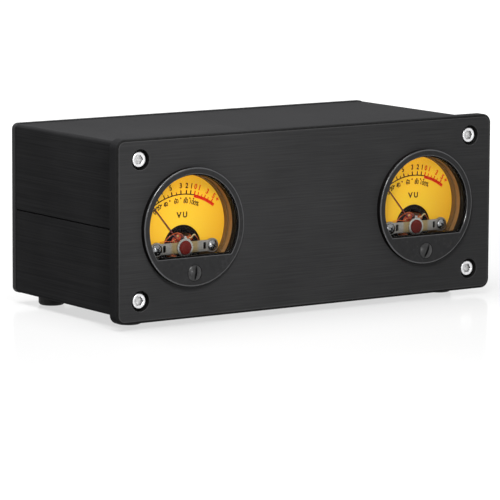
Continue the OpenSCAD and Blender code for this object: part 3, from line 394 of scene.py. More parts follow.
for sx in (-1, 1):
    meter_z = (centre_of("bezel_left").z - panel_place.z) / mm
    meter_x = sx * abs(centre_of("bezel_left").x) / mm
    hole = [round_ring(bm, r, y, meter_x, meter_z, 144)
            for r, y in ((meter_hole_r + hole_edge, 0), (meter_hole_r, hole_edge), (meter_hole_r, panel_t))]
    band(bm, *hole)
    fronts.append(hole[0])
    backs.append(hole[-1])
    for sz in (-1, 1):
        x, z = sx * screw_x, (screw_mid - panel_place.z) / mm + sz * screw_z
        steps = ((recess_r + recess_slope, 0), (recess_r, recess_slope), (recess_r, recess_d),
                 (bore_r, recess_d), (bore_r, panel_t))
        hole = [round_ring(bm, r, y, x, z, 64) for r, y in steps]
        # The chamfer takes the painted highlight; the wall, floor and bore take the painted shade.
        band(bm, *hole[:2], slot=2)
        band(bm, *hole[1:], slot=1)
        fronts.append(hole[0])
        backs.append(hole[-1])
flat(bm, sides[0], fronts)
flat(bm, sides[-1], backs)
panel = made(bm, "panel", panel_black, panel_place, others=(round_shade, highlight_line, side_shade))
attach(panel, "case")
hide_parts("front_panel")

# ---- Panel screws and rear screws ----
# Steel screws with a flat-rimmed round head and a wide hexagon socket: four bright ones sunk in the
# front panel and four blackened ones on the back. Each runs into a channel in the shell's corner.
head_h, thread_r, socket_af, socket_d, socket_lip, mouth_r = 1.65, 1.45, 3.1, 1.05, 0.25, 1.98
screw_l, tip_l, tip_step = 12.0, 0.5, 0.4
head_crown = ((mouth_r, 0.06), (2.1, 0.01), (2.3, 0), (2.5, 0.02), (2.64, 0.08), (2.75, 0.17),
              (2.82, 0.30), (head_r, 0.48), (head_r, head_h - 0.08), (head_r - 0.08, head_h))


def tree_of(name, *floats, **kinds):
    """A node tree with named inputs for its sizes, and what they give"""
    tree = bpy.data.node_groups.new(name, "GeometryNodeTree")
    tree.interface.new_socket("Geometry", in_out="INPUT", socket_type="NodeSocketGeometry")
    for label, kind in (*((label, "Float") for label in floats), *kinds.items()):
        tree.interface.new_socket(label, in_out="INPUT", socket_type="NodeSocket" + kind)
    tree.interface.new_socket("Geometry", in_out="OUTPUT", socket_type="NodeSocketGeometry")
    return tree, tree.nodes.new("NodeGroupInput").outputs


def close_tree(tree, geometry, material):
    solid = add(tree, "GeometryNodeRealizeInstances", {"Geometry": geometry})
    dressed = add(tree, "GeometryNodeSetMaterial", {"Geometry": solid, "Material": material})
    add(tree, "NodeGroupOutput", {"Geometry": dressed})


def through(tree, mesh, **sizes):
    """What a node tree makes of a mesh, as a plain mesh"""
    carrier = bpy.data.objects.new("carrier", mesh)
    bpy.context.scene.collection.objects.link(carrier)
    modifier = carrier.modifiers.new("tree", "NODES")
    modifier.node_group = tree
    for item in tree.interface.items_tree:
        if item.item_type == "SOCKET" and item.in_out == "INPUT" and item.name in sizes:
            modifier[item.identifier] = sizes[item.name]
    graph = bpy.context.evaluated_depsgraph_get()
    grown = bpy.data.meshes.new_from_object(carrier.evaluated_get(graph))
    carrier.modifiers.remove(modifier)
    bpy.data.objects.remove(carrier)
    bm = bmesh.new()
    bm.from_mesh(grown)
    return bm


def mesh_of(bm):
    mesh = bpy.data.meshes.new("start")
    bm.to_mesh(mesh)
    bm.free()
    return mesh


def hexagon(af, steps=72):
    """A hexagon with as many points as a circle, so that one can run into the other"""
    points = []
    for k in range(steps):
        a = math.tau * k / steps
        r = af / 2 / math.cos((a + math.pi / 6) % (math.pi / 3) - math.pi / 6)
        points.append((r * math.sin(a), r * math.cos(a)))
    return points


def socket_screw(bm):
    """The rim of its head is at depth 0"""
    end = head_h + screw_l
    rings = [ring(bm, [(0, socket_d, 0)]),
             ring(bm, at_depth(hexagon(socket_af), socket_d)),
             ring(bm, at_depth(hexagon(socket_af), socket_lip))]
    for r, y in (*head_crown, (thread_r, head_h), (thread_r, end - tip_l), (thread_r - tip_step, end)):
        rings.append(round_ring(bm, r, y))
    rings.append(ring(bm, [(0, end, 0)]))
    band(bm, *rings[:2], slot=2)
    # The socket's walls take the painted shade.
    band(bm, *rings[1:3], slot=1)
    band(bm, *rings[2:])


bright_steel = finish("bright_steel", (0.70, 0.70, 0.71), (0.86, 0.86, 0.87), 1500, (0.26, 0.40), 0.002,
                      metal=0.9)
black_steel = finish("black_steel", (0.03, 0.03, 0.032), (0.07, 0.07, 0.075), 1500, (0.28, 0.42), 0.003,
                     metal=0.6)
# Painted shade: the socket's walls take a dark grey for the shadow in the hollow.
socket_shade = finish("socket_shade", 0.07, 0.22, 1500, (0.35, 0.5), 0.003, metal=0.8)
socket_floor = finish("socket_floor", 0.24, 0.95, 1700, (0.30, 0.5), 0.02, metal=0.85, patches=1100.0)
at_corners, start = tree_of("at_four_corners", "Across", "Up")
four = add(at_corners, "GeometryNodeMeshGrid", {
    "Size X": start["Across"], "Size Y": start["Up"], "Vertices X": 2, "Vertices Y": 2})
stood = add(at_corners, "GeometryNodeTransform", {
    "Geometry": four, "Rotation": (math.pi / 2, 0, 0)})
placed = add(at_corners, "GeometryNodeInstanceOnPoints", {"Points": stood, "Instance": start["Geometry"]})
close_tree(at_corners, placed, bright_steel)
for name, node, material, slot, back in (
        ("panel_screw_set", "panel_screws", bright_steel, "bright_screws", False),
        ("rear_screw_set", "rear_screws", black_steel, "black_screws", True)):
    bm = parted()
    socket_screw(bm)
    bm = through(at_corners, mesh_of(bm), Across=2 * screw_x, Up=2 * screw_z)
    low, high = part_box(node)
    if back:
        bmesh.ops.scale(bm, vec=(1, -1, 1), verts=bm.verts)
    place = Vector(((low.x + high.x) / 2, high.y if back else low.y, (low.z + high.z) / 2))
    screws = made(bm, name, material, place, others=(socket_shade, socket_floor))
    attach(screws, "case")
    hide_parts(node)

# ---- Shell ----
# Two extruded aluminium halves, brushed along their length and anodised black. A tongue inside
# joins them at the seam; the rear panel is a plain plate of the same finish.
shell_black = finish("shell_black", (0.018, 0.018, 0.019), (0.035, 0.035, 0.036), (700, 22, 2400),
                     (0.42, 0.58), 0.003, gloss=0.002)
rear_black = finish("rear_black", (0.022, 0.022, 0.023), (0.036, 0.036, 0.037), (45, 2600, 2600),
                    (0.34, 0.46), 0.003, gloss=0.05)


def dress(material, *names):
    """Gives a finish to pieces that keep the shape they have"""
    for name in names:
        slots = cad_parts[name].material_slots
        for slot in slots:
            slot.material = material
        if not slots:
            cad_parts[name].data.materials.append(material)


dress(shell_black, "top_shell", "bottom_shell")
dress(rear_black, "rear_panel")

# ---- Feet ----
# Four turned feet of black rubber, each hollow underneath for the steel screw that holds it to the
# shell's floor.
rubber = finish("rubber", 0.012, 0.022, 900, (0.62, 0.80), 0.02, gloss=0.3)
foot_steel = finish("foot_steel", (0.42, 0.42, 0.43), (0.6, 0.6, 0.62), 1500, (0.22, 0.38), 0.003,
                    metal=1.0)
dress(rubber, "feet")
dress(foot_steel, "foot_screws")

# ---- Board ----
# The driver board inside the shell: green glass fibre on four posts, with its capacitors, chips,
# regulator and plug headers, and the leads that run from it to the meters.
board_green = finish("board_green", (0.012, 0.09, 0.035), (0.03, 0.17, 0.07), 700, (0.30, 0.45), 0.01,
                     coat=0.3, patches=220.0)
part_black = finish("part_black", (0.012, 0.014, 0.022), (0.035, 0.038, 0.055), 1200, (0.35, 0.5), 0.006)
lead_red = finish("lead_red", (0.30, 0.012, 0.010), (0.46, 0.03, 0.02), 900, (0.38, 0.52), 0.01)
dress(board_green, "driver_board")
dress(part_black, "board_parts")
dress(bright_steel, "board_screws")
dress(lead_red, "leads")

# ---- Rear sockets ----
# Four phono sockets, gilt barrels round white insulators, held by nuts inside; below the switch a
# black barrel socket takes the supply.
barrel_r, barrel_l, sleeve_r = 4.15, 8.0, 3.4
collar_r, collar_t = 5.8, 1.5
screwed_r = 3.9
contact_r = 1.6
gilt = finish("gilt", (0.72, 0.50, 0.16), (0.86, 0.64, 0.25), 1500, (0.16, 0.30), 0.003, metal=1.0)
ivory = finish("ivory", (0.72, 0.71, 0.66), (0.82, 0.81, 0.77), 900, (0.35, 0.5), 0.008)
nickel = finish("nickel", (0.50, 0.49, 0.47), (0.66, 0.65, 0.63), 1500, (0.22, 0.36), 0.003, metal=1.0)
black_plastic = finish("black_plastic", (0.014, 0.014, 0.015), (0.028, 0.028, 0.029), 1400, (0.42, 0.58),
                       0.012)
low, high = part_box("signal_sockets")
socket_y = high.y - (barrel_l + collar_t) * mm
inside_y = (low.y - socket_y) / mm
barrels, sleeves = bmesh.new(), bmesh.new()
for x in (low.x / mm + collar_r, high.x / mm - collar_r):
    for z in (low.z / mm + collar_r, high.z / mm - collar_r):
        end = collar_t + barrel_l
        turned(barrels, ((sleeve_r, inside_y), (screwed_r, inside_y), (screwed_r, 0), (collar_r - 0.1, 0),
                         (collar_r, 0.1), (collar_r, collar_t - 0.3), (collar_r - 0.3, collar_t),
                         (barrel_r + 0.2, collar_t), (barrel_r, collar_t + 0.2), (barrel_r, end - 0.5),
                         (barrel_r - 0.12, end - 0.15), (barrel_r - 0.35, end), (sleeve_r + 0.1, end),
                         (sleeve_r, end - 0.1)), x, z, 64)
        turned(sleeves, ((contact_r, inside_y), (sleeve_r - 0.02, inside_y), (sleeve_r - 0.02, end - 0.5),
                         (sleeve_r - 0.15, end - 0.4), (contact_r + 0.25, end - 0.4),
                         (contact_r, end - 0.65)), x, z, 64)
sockets = made(barrels, "phono_sockets", gilt, (0, socket_y, 0))
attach(sockets, "case")
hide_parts("signal_sockets")
insulators = made(sleeves, "phono_insulators", ivory, (0, socket_y, 0))
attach(insulators, "case")
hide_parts("socket_insulators")
dress(nickel, "socket_nuts", "level_control")
dress(black_plastic, "supply_socket", "switch_body", "switch_rocker")

# ---- Level knob ----
# A moulded knob with flutes for the fingers and a white line on its end, pushed on the level
# control's shaft.
knob_r, knob_l, knob_bore, shaft_r = 6.5, 9.0, 3.05, 3.0
flute_d, flute_count, flute_start, flute_band = 0.45, 18, 2.0, 0.7
line_w, line_in, line_out, line_under, line_over = 0.8, 1.2, 5.4, 0.4, 0.02
root = -knob_l
knob_low, knob_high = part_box("level_knob")
knob_place = Vector(((knob_low.x + knob_high.x) / 2, knob_high.y, (knob_low.z + knob_high.z) / 2))
knob_black = finish("knob_black", (0.016, 0.016, 0.017), (0.030, 0.030, 0.031), 1100, (0.40, 0.55), 0.012)
line_white = finish("line_white", (0.70, 0.70, 0.68), (0.82, 0.82, 0.80), 1600, (0.45, 0.6), 0.004)
fluted, start = tree_of("finger_flutes", "Flutes", "Depth", "Radius", "Start", "Band")
parts = add(fluted, "ShaderNodeSeparateXYZ", {0: add(fluted, "GeometryNodeInputPosition")}).outputs
clock = maths(fluted, "ARCTAN2", parts["X"], parts["Z"])
crest = maths(fluted, "COSINE", maths(fluted, "MULTIPLY", clock, start["Flutes"]))
deep = maths(fluted, "MULTIPLY", maths(fluted, "MAXIMUM", crest, 0.0), start["Depth"])
away = add(fluted, "ShaderNodeCombineXYZ", {"X": parts["X"], "Z": parts["Z"]})
reach = add(fluted, "ShaderNodeVectorMath", {0: away}, operation="LENGTH").outputs["Value"]
outer = maths(fluted, "GREATER_THAN", reach, maths(fluted, "SUBTRACT", start["Radius"], start["Band"]))
past = maths(fluted, "GREATER_THAN", parts["Y"], start["Start"])
cut = maths(fluted, "MULTIPLY", deep, maths(fluted, "MULTIPLY", outer, past))
aim = add(fluted, "ShaderNodeVectorMath", {0: away}, operation="NORMALIZE")
move = add(fluted, "ShaderNodeVectorMath", {
    0: aim, "Scale": maths(fluted, "MULTIPLY", cut, -1.0)}, operation="SCALE")
moved = add(fluted, "GeometryNodeSetPosition", {"Geometry": start["Geometry"], "Offset": move})
close_tree(fluted, moved, knob_black)
bm = bmesh.new()
turned(bm, ((0, -1.5), (knob_bore, -1.5), (knob_bore, root), (knob_r - 0.3, root), (knob_r, root + 0.3),
            (knob_r, root + 1.6), (knob_r - 0.25, root + 1.85), (knob_r - 0.05, root + 2.1),
            (knob_r - 0.05, root + 5), (knob_r - 0.05, -0.9), (knob_r - 0.2, -0.4), (knob_r - 0.6, -0.08),
            (knob_r - 1.0, 0), (knob_r - 1.5, 0), (knob_r - 1.7, -0.15), (2.0, -0.3), (0, -0.3)), steps=216)
bm = through(fluted, mesh_of(bm), Flutes=float(flute_count), Depth=flute_d, Radius=knob_r,
             Start=root + flute_start, Band=flute_band)
turned(bm, ((0, (knob_low.y - knob_high.y) / mm), (shaft_r, (knob_low.y - knob_high.y) / mm),
            (shaft_r, -1.6), (0, -1.6)))
knob = made(bm, "fluted_knob", knob_black, knob_place)
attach(knob, "knob")
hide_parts("level_knob")
bm = bmesh.new()
plate(bm, round_rectangle(line_w, line_out - line_in, 0.3, 0, (line_out + line_in) / 2), (),
      -line_under, -line_over, line_over)
pointer_line = made(bm, "knob_line", line_white, knob_place)
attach(pointer_line, "knob")

# ---- Meter cups ----
# Behind each hole a tan moulded cup with a flange is screwed up against the panel. It carries the
# movement, the lamp board and the two terminals.
tan_plastic = finish("tan_plastic", (0.30, 0.155, 0.055), (0.42, 0.24, 0.09), 600, (0.42, 0.55), 0.012)
lamp_white = finish("lamp_white", (0.62, 0.64, 0.62), (0.78, 0.80, 0.77), 700, (0.35, 0.5), 0.008)
# Painted shade: the movement frame and the soft iron yoke ring are near black for the shade deep in the cup
# behind the bridge.
frame_black = finish("frame_black", (0.004, 0.003, 0.003), (0.010, 0.007, 0.006), 900, (0.38, 0.52),
                     0.008, gloss=0.06)
magnet_grey = finish("magnet_grey", (0.020, 0.028, 0.045), (0.050, 0.068, 0.105), 1200, (0.25, 0.4),
                     0.005, metal=0.6)
soft_iron = finish("soft_iron", (0.004, 0.003, 0.004), (0.012, 0.009, 0.009), 1200, (0.38, 0.52), 0.005,
                   gloss=0.06)
for side in ("_left", "_right"):
    dress(tan_plastic, "housing" + side)
    dress(lamp_white, "lamp_board" + side)
    dress(gilt, "terminals" + side)
    dress(frame_black, "movement_frame" + side)
    dress(magnet_grey, "magnet_core" + side)
    dress(soft_iron, "yoke_ring" + side)

# ---- Moving coils ----
# Enamelled copper wire wound on a light aluminium former that turns round the magnet core, with its
# steel staff, fine pivots and brass collets for the two hairsprings.
coil_half_w, coil_out, coil_in, coil_l, end_t, coil_corner = 1.0, 5.95, 4.95, 9.9, 0.9, 0.8
wire_r, wire_count = 0.115, 9
former_in, former_half_w = 0.16, 0.9
pivot_r, staff_r, collet_r, hub_out, hub_back = 0.12, 0.25, 0.9, 0.5, 0.4
rest_turn = math.radians(-39.7)
copper = finish("copper_wire", (0.42, 0.06, 0.018), (0.85, 0.22, 0.05), 2500, (0.18, 0.32), 0.003,
                metal=0.45, coat=0.3)
former = finish("former_foil", (0.55, 0.30, 0.14), (0.72, 0.44, 0.22), 2000, (0.25, 0.4), 0.003, metal=0.9)
wound, start = tree_of("coil_winding", "Width", "Length", "Corner", "Wire", "Spread", Turns="Int")
loop = add(wound, "GeometryNodeCurvePrimitiveQuadrilateral", {
    "Width": start["Width"], "Height": start["Length"]})
bent = add(wound, "GeometryNodeFilletCurve", {
    "Curve": loop, "Count": 5, "Radius": start["Corner"]}, mode="POLY")
section = add(wound, "GeometryNodeCurvePrimitiveCircle", {"Resolution": 8, "Radius": start["Wire"]})
wire = add(wound, "GeometryNodeCurveToMesh", {"Curve": bent, "Profile Curve": section})
low_end = add(wound, "ShaderNodeCombineXYZ", {"Z": maths(wound, "MULTIPLY", start["Spread"], -0.5)})
high_end = add(wound, "ShaderNodeCombineXYZ", {"Z": maths(wound, "MULTIPLY", start["Spread"], 0.5)})
row = add(wound, "GeometryNodeMeshLine", {
    "Count": start["Turns"], "Start Location": low_end, "Offset": high_end}, mode="END_POINTS")
turns = add(wound, "GeometryNodeInstanceOnPoints", {"Points": row, "Instance": wire})
close_tree(wound, turns, copper)
for side in ("_left", "_right"):
    core = centre_of("magnet_core" + side)
    low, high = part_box("coil" + side)
    wires = through(wound, bpy.data.meshes.new("none"), Width=2 * (coil_out - wire_r),
                    Length=coil_l - 2 * wire_r, Corner=coil_corner, Wire=wire_r,
                    Spread=2 * (coil_half_w - wire_r), Turns=wire_count)
    winding = made(wires, "winding" + side, copper, core, rest_turn)
    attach(winding, "movement" + side)
    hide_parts("coil" + side)
    bm = bmesh.new()
    rounded = round_rectangle(2 * (coil_out - former_in), coil_l - 2 * former_in, 0.7)
    hollow = round_rectangle(2 * coil_in, coil_l - 2 * end_t, 0.3)
    loops = [ring(bm, [(x, y, z) for x, y in points]) for points, z in (
        (rounded, -former_half_w), (rounded, former_half_w),
        (hollow, former_half_w), (hollow, -former_half_w))]
    band(bm, *loops, loops[0])
    body = made(bm, "coil_former" + side, former, core, rest_turn)
    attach(body, "movement" + side)
    bm = bmesh.new()
    front = (low.y - core.y) / mm
    back = (high.y - core.y) / mm
    inner_end = coil_l / 2 - hub_back
    turned(bm, ((0, front), (pivot_r, front + 0.08), (staff_r, front + 0.3), (staff_r, front + 0.48),
                (hub_out, front + 0.49), (collet_r, front + 0.5), (collet_r, front + 0.85),
                (hub_out, front + 0.86), (hub_out, -inner_end), (0, -inner_end)), steps=32)
    turned(bm, ((0, inner_end), (hub_out, inner_end), (hub_out, back - 0.65), (staff_r, back - 0.62),
                (staff_r, back - 0.3), (pivot_r, back - 0.08), (0, back)), steps=32)
    staff = made(bm, "staff" + side, nickel, core, rest_turn)
    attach(staff, "movement" + side)

# ---- Hairsprings ----
# Flat bronze spirals, one in front of each coil and one behind it, soldered from the collet to the
# zero lever and to the frame. They bring the pointer back and feed the coil.
spring_t, spring_h, spring_turns, collet_gap = 0.14, 0.3, 4.0, 0.02
spring_bronze = finish("spring_bronze", (0.62, 0.44, 0.17), (0.80, 0.62, 0.30), 2500, (0.2, 0.34), 0.002,
                       metal=1.0)
spiral, start = tree_of("flat_spiral", "Inner", "Outer", "Turns", "Thick", "High")
coiled = add(spiral, "GeometryNodeCurveSpiral", {
    "Resolution": 48, "Rotations": start["Turns"], "Start Radius": start["Inner"],
    "End Radius": start["Outer"], "Height": 0.0, "Reverse": True})
strip = add(spiral, "GeometryNodeCurvePrimitiveQuadrilateral", {
    "Width": start["Thick"], "Height": start["High"]})
swept = add(spiral, "GeometryNodeCurveToMesh", {
    "Curve": coiled, "Profile Curve": strip, "Fill Caps": True})
stood = add(spiral, "GeometryNodeTransform", {"Geometry": swept, "Rotation": (math.pi / 2, 0, 0)})
faced = add(spiral, "GeometryNodeTransform", {"Geometry": stood, "Rotation": (0, -math.pi / 2, 0)})
close_tree(spiral, faced, spring_bronze)
for side in ("_left", "_right"):
    for end in ("front", "rear"):
        node = end + "_spring" + side
        low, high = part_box(node)
        core = centre_of("magnet_core" + side)
        outer = (high.z - core.z) / mm - spring_t / 2
        bm = through(spiral, bpy.data.meshes.new("none"), Inner=collet_r + spring_t / 2 + collet_gap,
                     Outer=outer, Turns=spring_turns, Thick=spring_t, High=spring_h)
        spring = made(bm, "hair" + node, spring_bronze, (core.x, (low.y + high.y) / 2, core.z))
        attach(spring, "case")
        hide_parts(node)

# ---- Coil leads ----
# Fine enamelled wires that bring the current from the frame's posts to the hairsprings, one in a
# pale sleeve, and the red fibre plate on the coil's front end where its own ends are soldered.
lead_r, lead_sleeve_r, sleeve_from, sleeve_to, lead_y = 0.13, 0.24, 16, 34, 5.4
left_lead = ((-8.6, 1.3, 0.2), (-7.4, 0.6, 2.9), (-5.4, 0.05, 4.7), (-2.9, -0.05, 5.5),
             (-0.9, 0.0, 4.9), (-0.3, 0.05, 4.1))
low_lead = ((-10.2, 0.15, 2.5), (-7.4, 0.0, 2.7), (-5.2, 0.0, 2.45), (-3.9, 0.05, 3.1), (-2.6, 0.1, 3.3))
right_lead = ((7.6, 1.2, 1.6), (6.0, 0.3, 3.3), (4.6, 0.0, 4.4), (3.0, -0.05, 3.3), (1.0, 0.05, 4.1))
tab_y, tab_t, tab_in, tab_out, tab_half, tab_cut = 6.1, 0.3, 2.6, 5.3, 2.3, 0.5
tab_neck, tab_top, joint_down, joint_places = 0.8, 1.5, 0.9, (-1.3, 1.2)
enamel_red = finish("enamel_red", (0.62, 0.06, 0.012), (0.95, 0.22, 0.04), 1800, (0.2, 0.34), 0.003,
                    coat=0.3)
sleeve_pale = finish("sleeve_pale", (0.62, 0.50, 0.24), (0.80, 0.68, 0.38), 900, (0.4, 0.55), 0.006)
fibre_red = finish("fibre_red", (0.34, 0.030, 0.014), (0.62, 0.085, 0.030), 1500, (0.4, 0.55), 0.008)
joint_tin = finish("joint_tin", (0.62, 0.46, 0.16), (0.86, 0.70, 0.34), 1800, (0.2, 0.34), 0.004, metal=0.7)


def smooth_run(points, steps=10):
    """A smooth curve through a run of points"""
    points = [Vector(point) for point in points]
    run = [points[0]]
    for k in range(len(points) - 1):
        a, b = points[max(k - 1, 0)], points[k]
        c, d = points[k + 1], points[min(k + 2, len(points) - 1)]
        for i in range(1, steps + 1):
            t = i / steps
            run.append(0.5 * (2 * b + (c - a) * t + (2 * a - 5 * b + 4 * c - d) * t ** 2
                              + (3 * b - 3 * c + d - a) * t ** 3))
    return run


def strand(bm, run, r, sides=10):
    """A round wire along a run of points, closed at both ends"""
    rings = [ring(bm, [run[0]])]
    for k, point in enumerate(run):
        ahead = (run[min(k + 1, len(run) - 1)] - run[max(k - 1, 0)]).normalized()
        over = ahead.cross(Vector((0, 1, 0))).normalized()
        up = over.cross(ahead)
        rings.append(ring(bm, [point + over * r * math.cos(math.tau * i / sides)
                               + up * r * math.sin(math.tau * i / sides) for i in range(sides)]))
    rings.append(ring(bm, [run[-1]]))
    band(bm, *rings)


for side in ("_left", "_right"):
    core = centre_of("magnet_core" + side)
    at_bridge = Vector((core.x, panel_low.y + lead_y * mm, core.z))
    bm = bmesh.new()
    for points in (left_lead, low_lead, right_lead):
        strand(bm, smooth_run(points), lead_r)
    leads = made(bm, "coil_leads" + side, enamel_red, at_bridge)
    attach(leads, "case")
    bm = bmesh.new()
    strand(bm, smooth_run(right_lead)[sleeve_from:sleeve_to], lead_sleeve_r)
    sleeve = made(bm, "lead_sleeve" + side, sleeve_pale, at_bridge)
    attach(sleeve, "case")
    bm = bmesh.new()
    half_tab = [(tab_top, tab_out), (tab_half, tab_out - tab_cut), (tab_half, tab_in + tab_cut),
                (tab_neck, tab_in)]
    tab = [(-x, z) for x, z in reversed(half_tab)] + half_tab
    plate(bm, tab, (), 0, tab_t, 0.05)
    at_tab = Vector((core.x, panel_low.y + tab_y * mm, core.z))
    fibre = made(bm, "coil_tab" + side, fibre_red, at_tab, rest_turn)
    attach(fibre, "movement" + side)
    bm = bmesh.new()
    for x in joint_places:
        turned(bm, ((0, -0.06), (0.3, -0.04), (0.5, 0.02), (0.55, 0.08), (0, 0.08)),
               x, tab_out - joint_down, 20)
    joints = made(bm, "coil_joints" + side, joint_tin, at_tab, rest_turn)
    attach(joints, "movement" + side)

# ---- Dials ----
# A thin translucent plate in each cup, printed amber with a black and red level scale and lit from
# behind. Its raised rim stands against the cup; the half-round opening shows the coil.
dial_r, rim_w, rim_h, plate_t = 18.9, 0.5, 2.2, 0.4
dial_y = 6.2
opening_r, drop_low, pivot_drop, post_x, post_hole_r = 8.2, 3.4, 8.3, 12.1, 1.45
step_x, step_z = 15.2, -7.3
print_t = 0.02
# Painted light: the dial's backlight is an emission that is brightest near the top.
amber_glow = 0.54
paint_middle, paint_reach = (0, -4), 20
paint_steps = ((0.15, (0.96, 0.60, 0.034)), (0.55, (0.94, 0.50, 0.022)), (0.95, (0.88, 0.42, 0.014)))
glow_middle, glow_reach = (-1, 17), 28
glow_steps = ((0.08, (1.0, 0.49, 0.022)), (0.5, (0.64, 0.40, 0.026)), (0.95, (0.40, 0.22, 0.016)))


def round_tone(tree, where, centre, middle, reach, steps):
    """A colour that changes with the distance from a point of the dial"""
    x, z = centre.x + middle[0] * mm, centre.z + middle[1] * mm
    shift = add(tree, "ShaderNodeMapping", {
        "Vector": where, "Location": (-x / (reach * mm), 0, -z / (reach * mm)),
        "Scale": (1 / (reach * mm), 0, 1 / (reach * mm))})
    away = add(tree, "ShaderNodeVectorMath", {0: shift}, operation="LENGTH")
    return ramp(tree, away.outputs["Value"], *steps)


def amber(name, centre):
    """Warm yellow in the middle, orange towards the rim; the light from behind is painted in as a glow, most
    at the top
    """
    material, tree = new_material(name)
    where = add(tree, "ShaderNodeTexCoord").outputs["Object"]
    speck = add(tree, "ShaderNodeTexNoise", {"Vector": where, "Scale": 900.0})
    dull = add(tree, "ShaderNodeMapRange", {"Value": speck, "To Min": 0.42, "To Max": 0.6})
    height = add(tree, "ShaderNodeBump", {"Height": speck, "Distance": 0.003 * mm})
    connect(tree, tree.nodes["Principled BSDF"], {
        "Base Color": round_tone(tree, where, centre, paint_middle, paint_reach, paint_steps),
        "Emission Color": round_tone(tree, where, centre, glow_middle, glow_reach, glow_steps),
        "Emission Strength": amber_glow, "Specular IOR Level": 0.2, "Roughness": dull, "Normal": height})
    return material


def dial_outline():
    """Round, with the opening over the coil and a step that clears the bridge and its posts"""
    low = -pivot_drop - drop_low
    left = math.degrees(math.acos(step_z / dial_r))
    right = math.degrees(math.acos(low / dial_r))
    over_post = math.degrees(math.acos((step_z + pivot_drop) / post_hole_r))
    over_coil = math.degrees(math.acos((step_z + pivot_drop) / opening_r))
    points = arc(dial_r, 0, 0, -left, right, 140) + [(step_x, low), (step_x, step_z)]
    points += arc(post_hole_r, post_x, -pivot_drop, over_post, -over_post, 12)
    points += arc(opening_r, 0, -pivot_drop, over_coil, -over_coil, 56)
    points += arc(post_hole_r, -post_x, -pivot_drop, over_post, -over_post, 12)
    return points


def rim_outline():
    low = -pivot_drop - drop_low
    edge = math.degrees(math.acos(low / dial_r)) - 1
    return arc(dial_r, 0, 0, -edge, edge, 140) + arc(dial_r - rim_w, 0, 0, edge, -edge, 140)


rim_umber = finish("rim_umber", (0.15, 0.082, 0.028), (0.22, 0.125, 0.045), 600, (0.45, 0.6), 0.008,
                   gloss=0.2)
meters = {}
for side in ("_left", "_right"):
    centre = centre_of("bezel" + side)
    meters[side] = Vector((centre.x, panel_low.y, centre.z))
    bm = bmesh.new()
    plate(bm, dial_outline(), (), dial_y, dial_y + plate_t, 0.04)
    dial = made(bm, "dial_plate" + side, amber("dial_amber" + side, centre), meters[side])
    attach(dial, "case")
    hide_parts("dial" + side)
    bm = bmesh.new()
    plate(bm, rim_outline(), (), dial_y - rim_h, dial_y + 0.05, 0.06)
    rim = made(bm, "dial_rim" + side, rim_umber, meters[side])
    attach(rim, "case")

# ---- Dial print ----
# The level scale: black ink from 20 to 1, red from 0 up, a percent scale under the arc and the
# letters VU. Every mark is a thin film of ink on the plate.
arc_z, arc_r, arc_w = -12.3, 23.4, 0.42
red_low, red_high, red_w = 15.2, 43.3, 0.95
number_r, number_h, percent_h, unit_h = 22.6, 2.0, 1.75, 2.2
number_bold, percent_bold = 0.034, 0.026
print_y = dial_y - print_t
ink_black = finish("ink_black", (0.010, 0.005, 0.003), (0.026, 0.014, 0.008), 2500, (0.45, 0.6), 0.002,
                   gloss=0.1)
ink_red = finish("ink_red", (0.88, 0.026, 0.007), (1.0, 0.046, 0.012), 2500, (0.45, 0.6), 0.002, gloss=0.1)
level_marks = ((-39.7, 1.7, 0.46), (-31.0, 1.5, 0.42), (-22.9, 1.5, 0.44), (-18.0, 1.0, 0.36),
               (-13.2, 1.5, 0.54), (-7.5, 1.0, 0.38), (-1.8, 1.5, 0.54), (5.0, 1.5, 0.54),
               (10.4, 1.5, 0.54))
red_marks = ((15.6, 1.5, 0.54), (20.0, 1.3, 0.42), (24.8, 1.0, 0.36), (28.9, 1.3, 0.46),
             (33.3, 1.0, 0.36), (38.5, 1.4, 0.50))
percent_marks = (-41.0, -38.0, -35.0, -30.0, -24.5, -17.5, -9.5, -2.3, 5.0, 10.6, 15.6)
black_numbers = (("20", -39.7), ("10", -31.0), ("7", -22.9), ("5", -13.2), ("3", -1.8), ("2", 5.0),
                 ("1", 10.4))
red_numbers = (("0", 15.0), ("1", 19.5), ("3", 29.1), ("5", 37.5))
number_narrow, percent_narrow, plus_h, plus_at = 0.92, 0.86, 1.4, 42.8
unit_letters = (("V", -1.45, 1.1), ("U", 1.2, 1.0))
unit_z, scale_low = 3.55, -42
percents = (("0", -11.98, 5.18), ("20", -10.25, 6.88), ("40", -7.22, 7.76), ("60", -2.66, 8.65),
            ("80", 1.48, 8.5), ("100%", 5.29, 7.61))


def arc_reach(angle):
    """Distance from the pivot out to the arc line along an angle in degrees"""
    a = math.radians(angle)
    down = arc_z + pivot_drop
    return down * math.cos(a) + math.sqrt(arc_r ** 2 - (down * math.sin(a)) ** 2)


def clock_of(angle):
    """The angle about the arc's own centre of the point where a pivot angle meets the arc line"""
    a, r = math.radians(angle), arc_reach(angle)
    return math.degrees(math.atan2(r * math.sin(a), r * math.cos(a) - pivot_drop - arc_z))


def stripe(bm, r_in, r_out, low, high, steps=80):
    plate(bm, arc(r_out, 0, arc_z, low, high, steps) + arc(r_in, 0, arc_z, high, low, steps), (),
          print_y, dial_y + 0.01, 0.005)


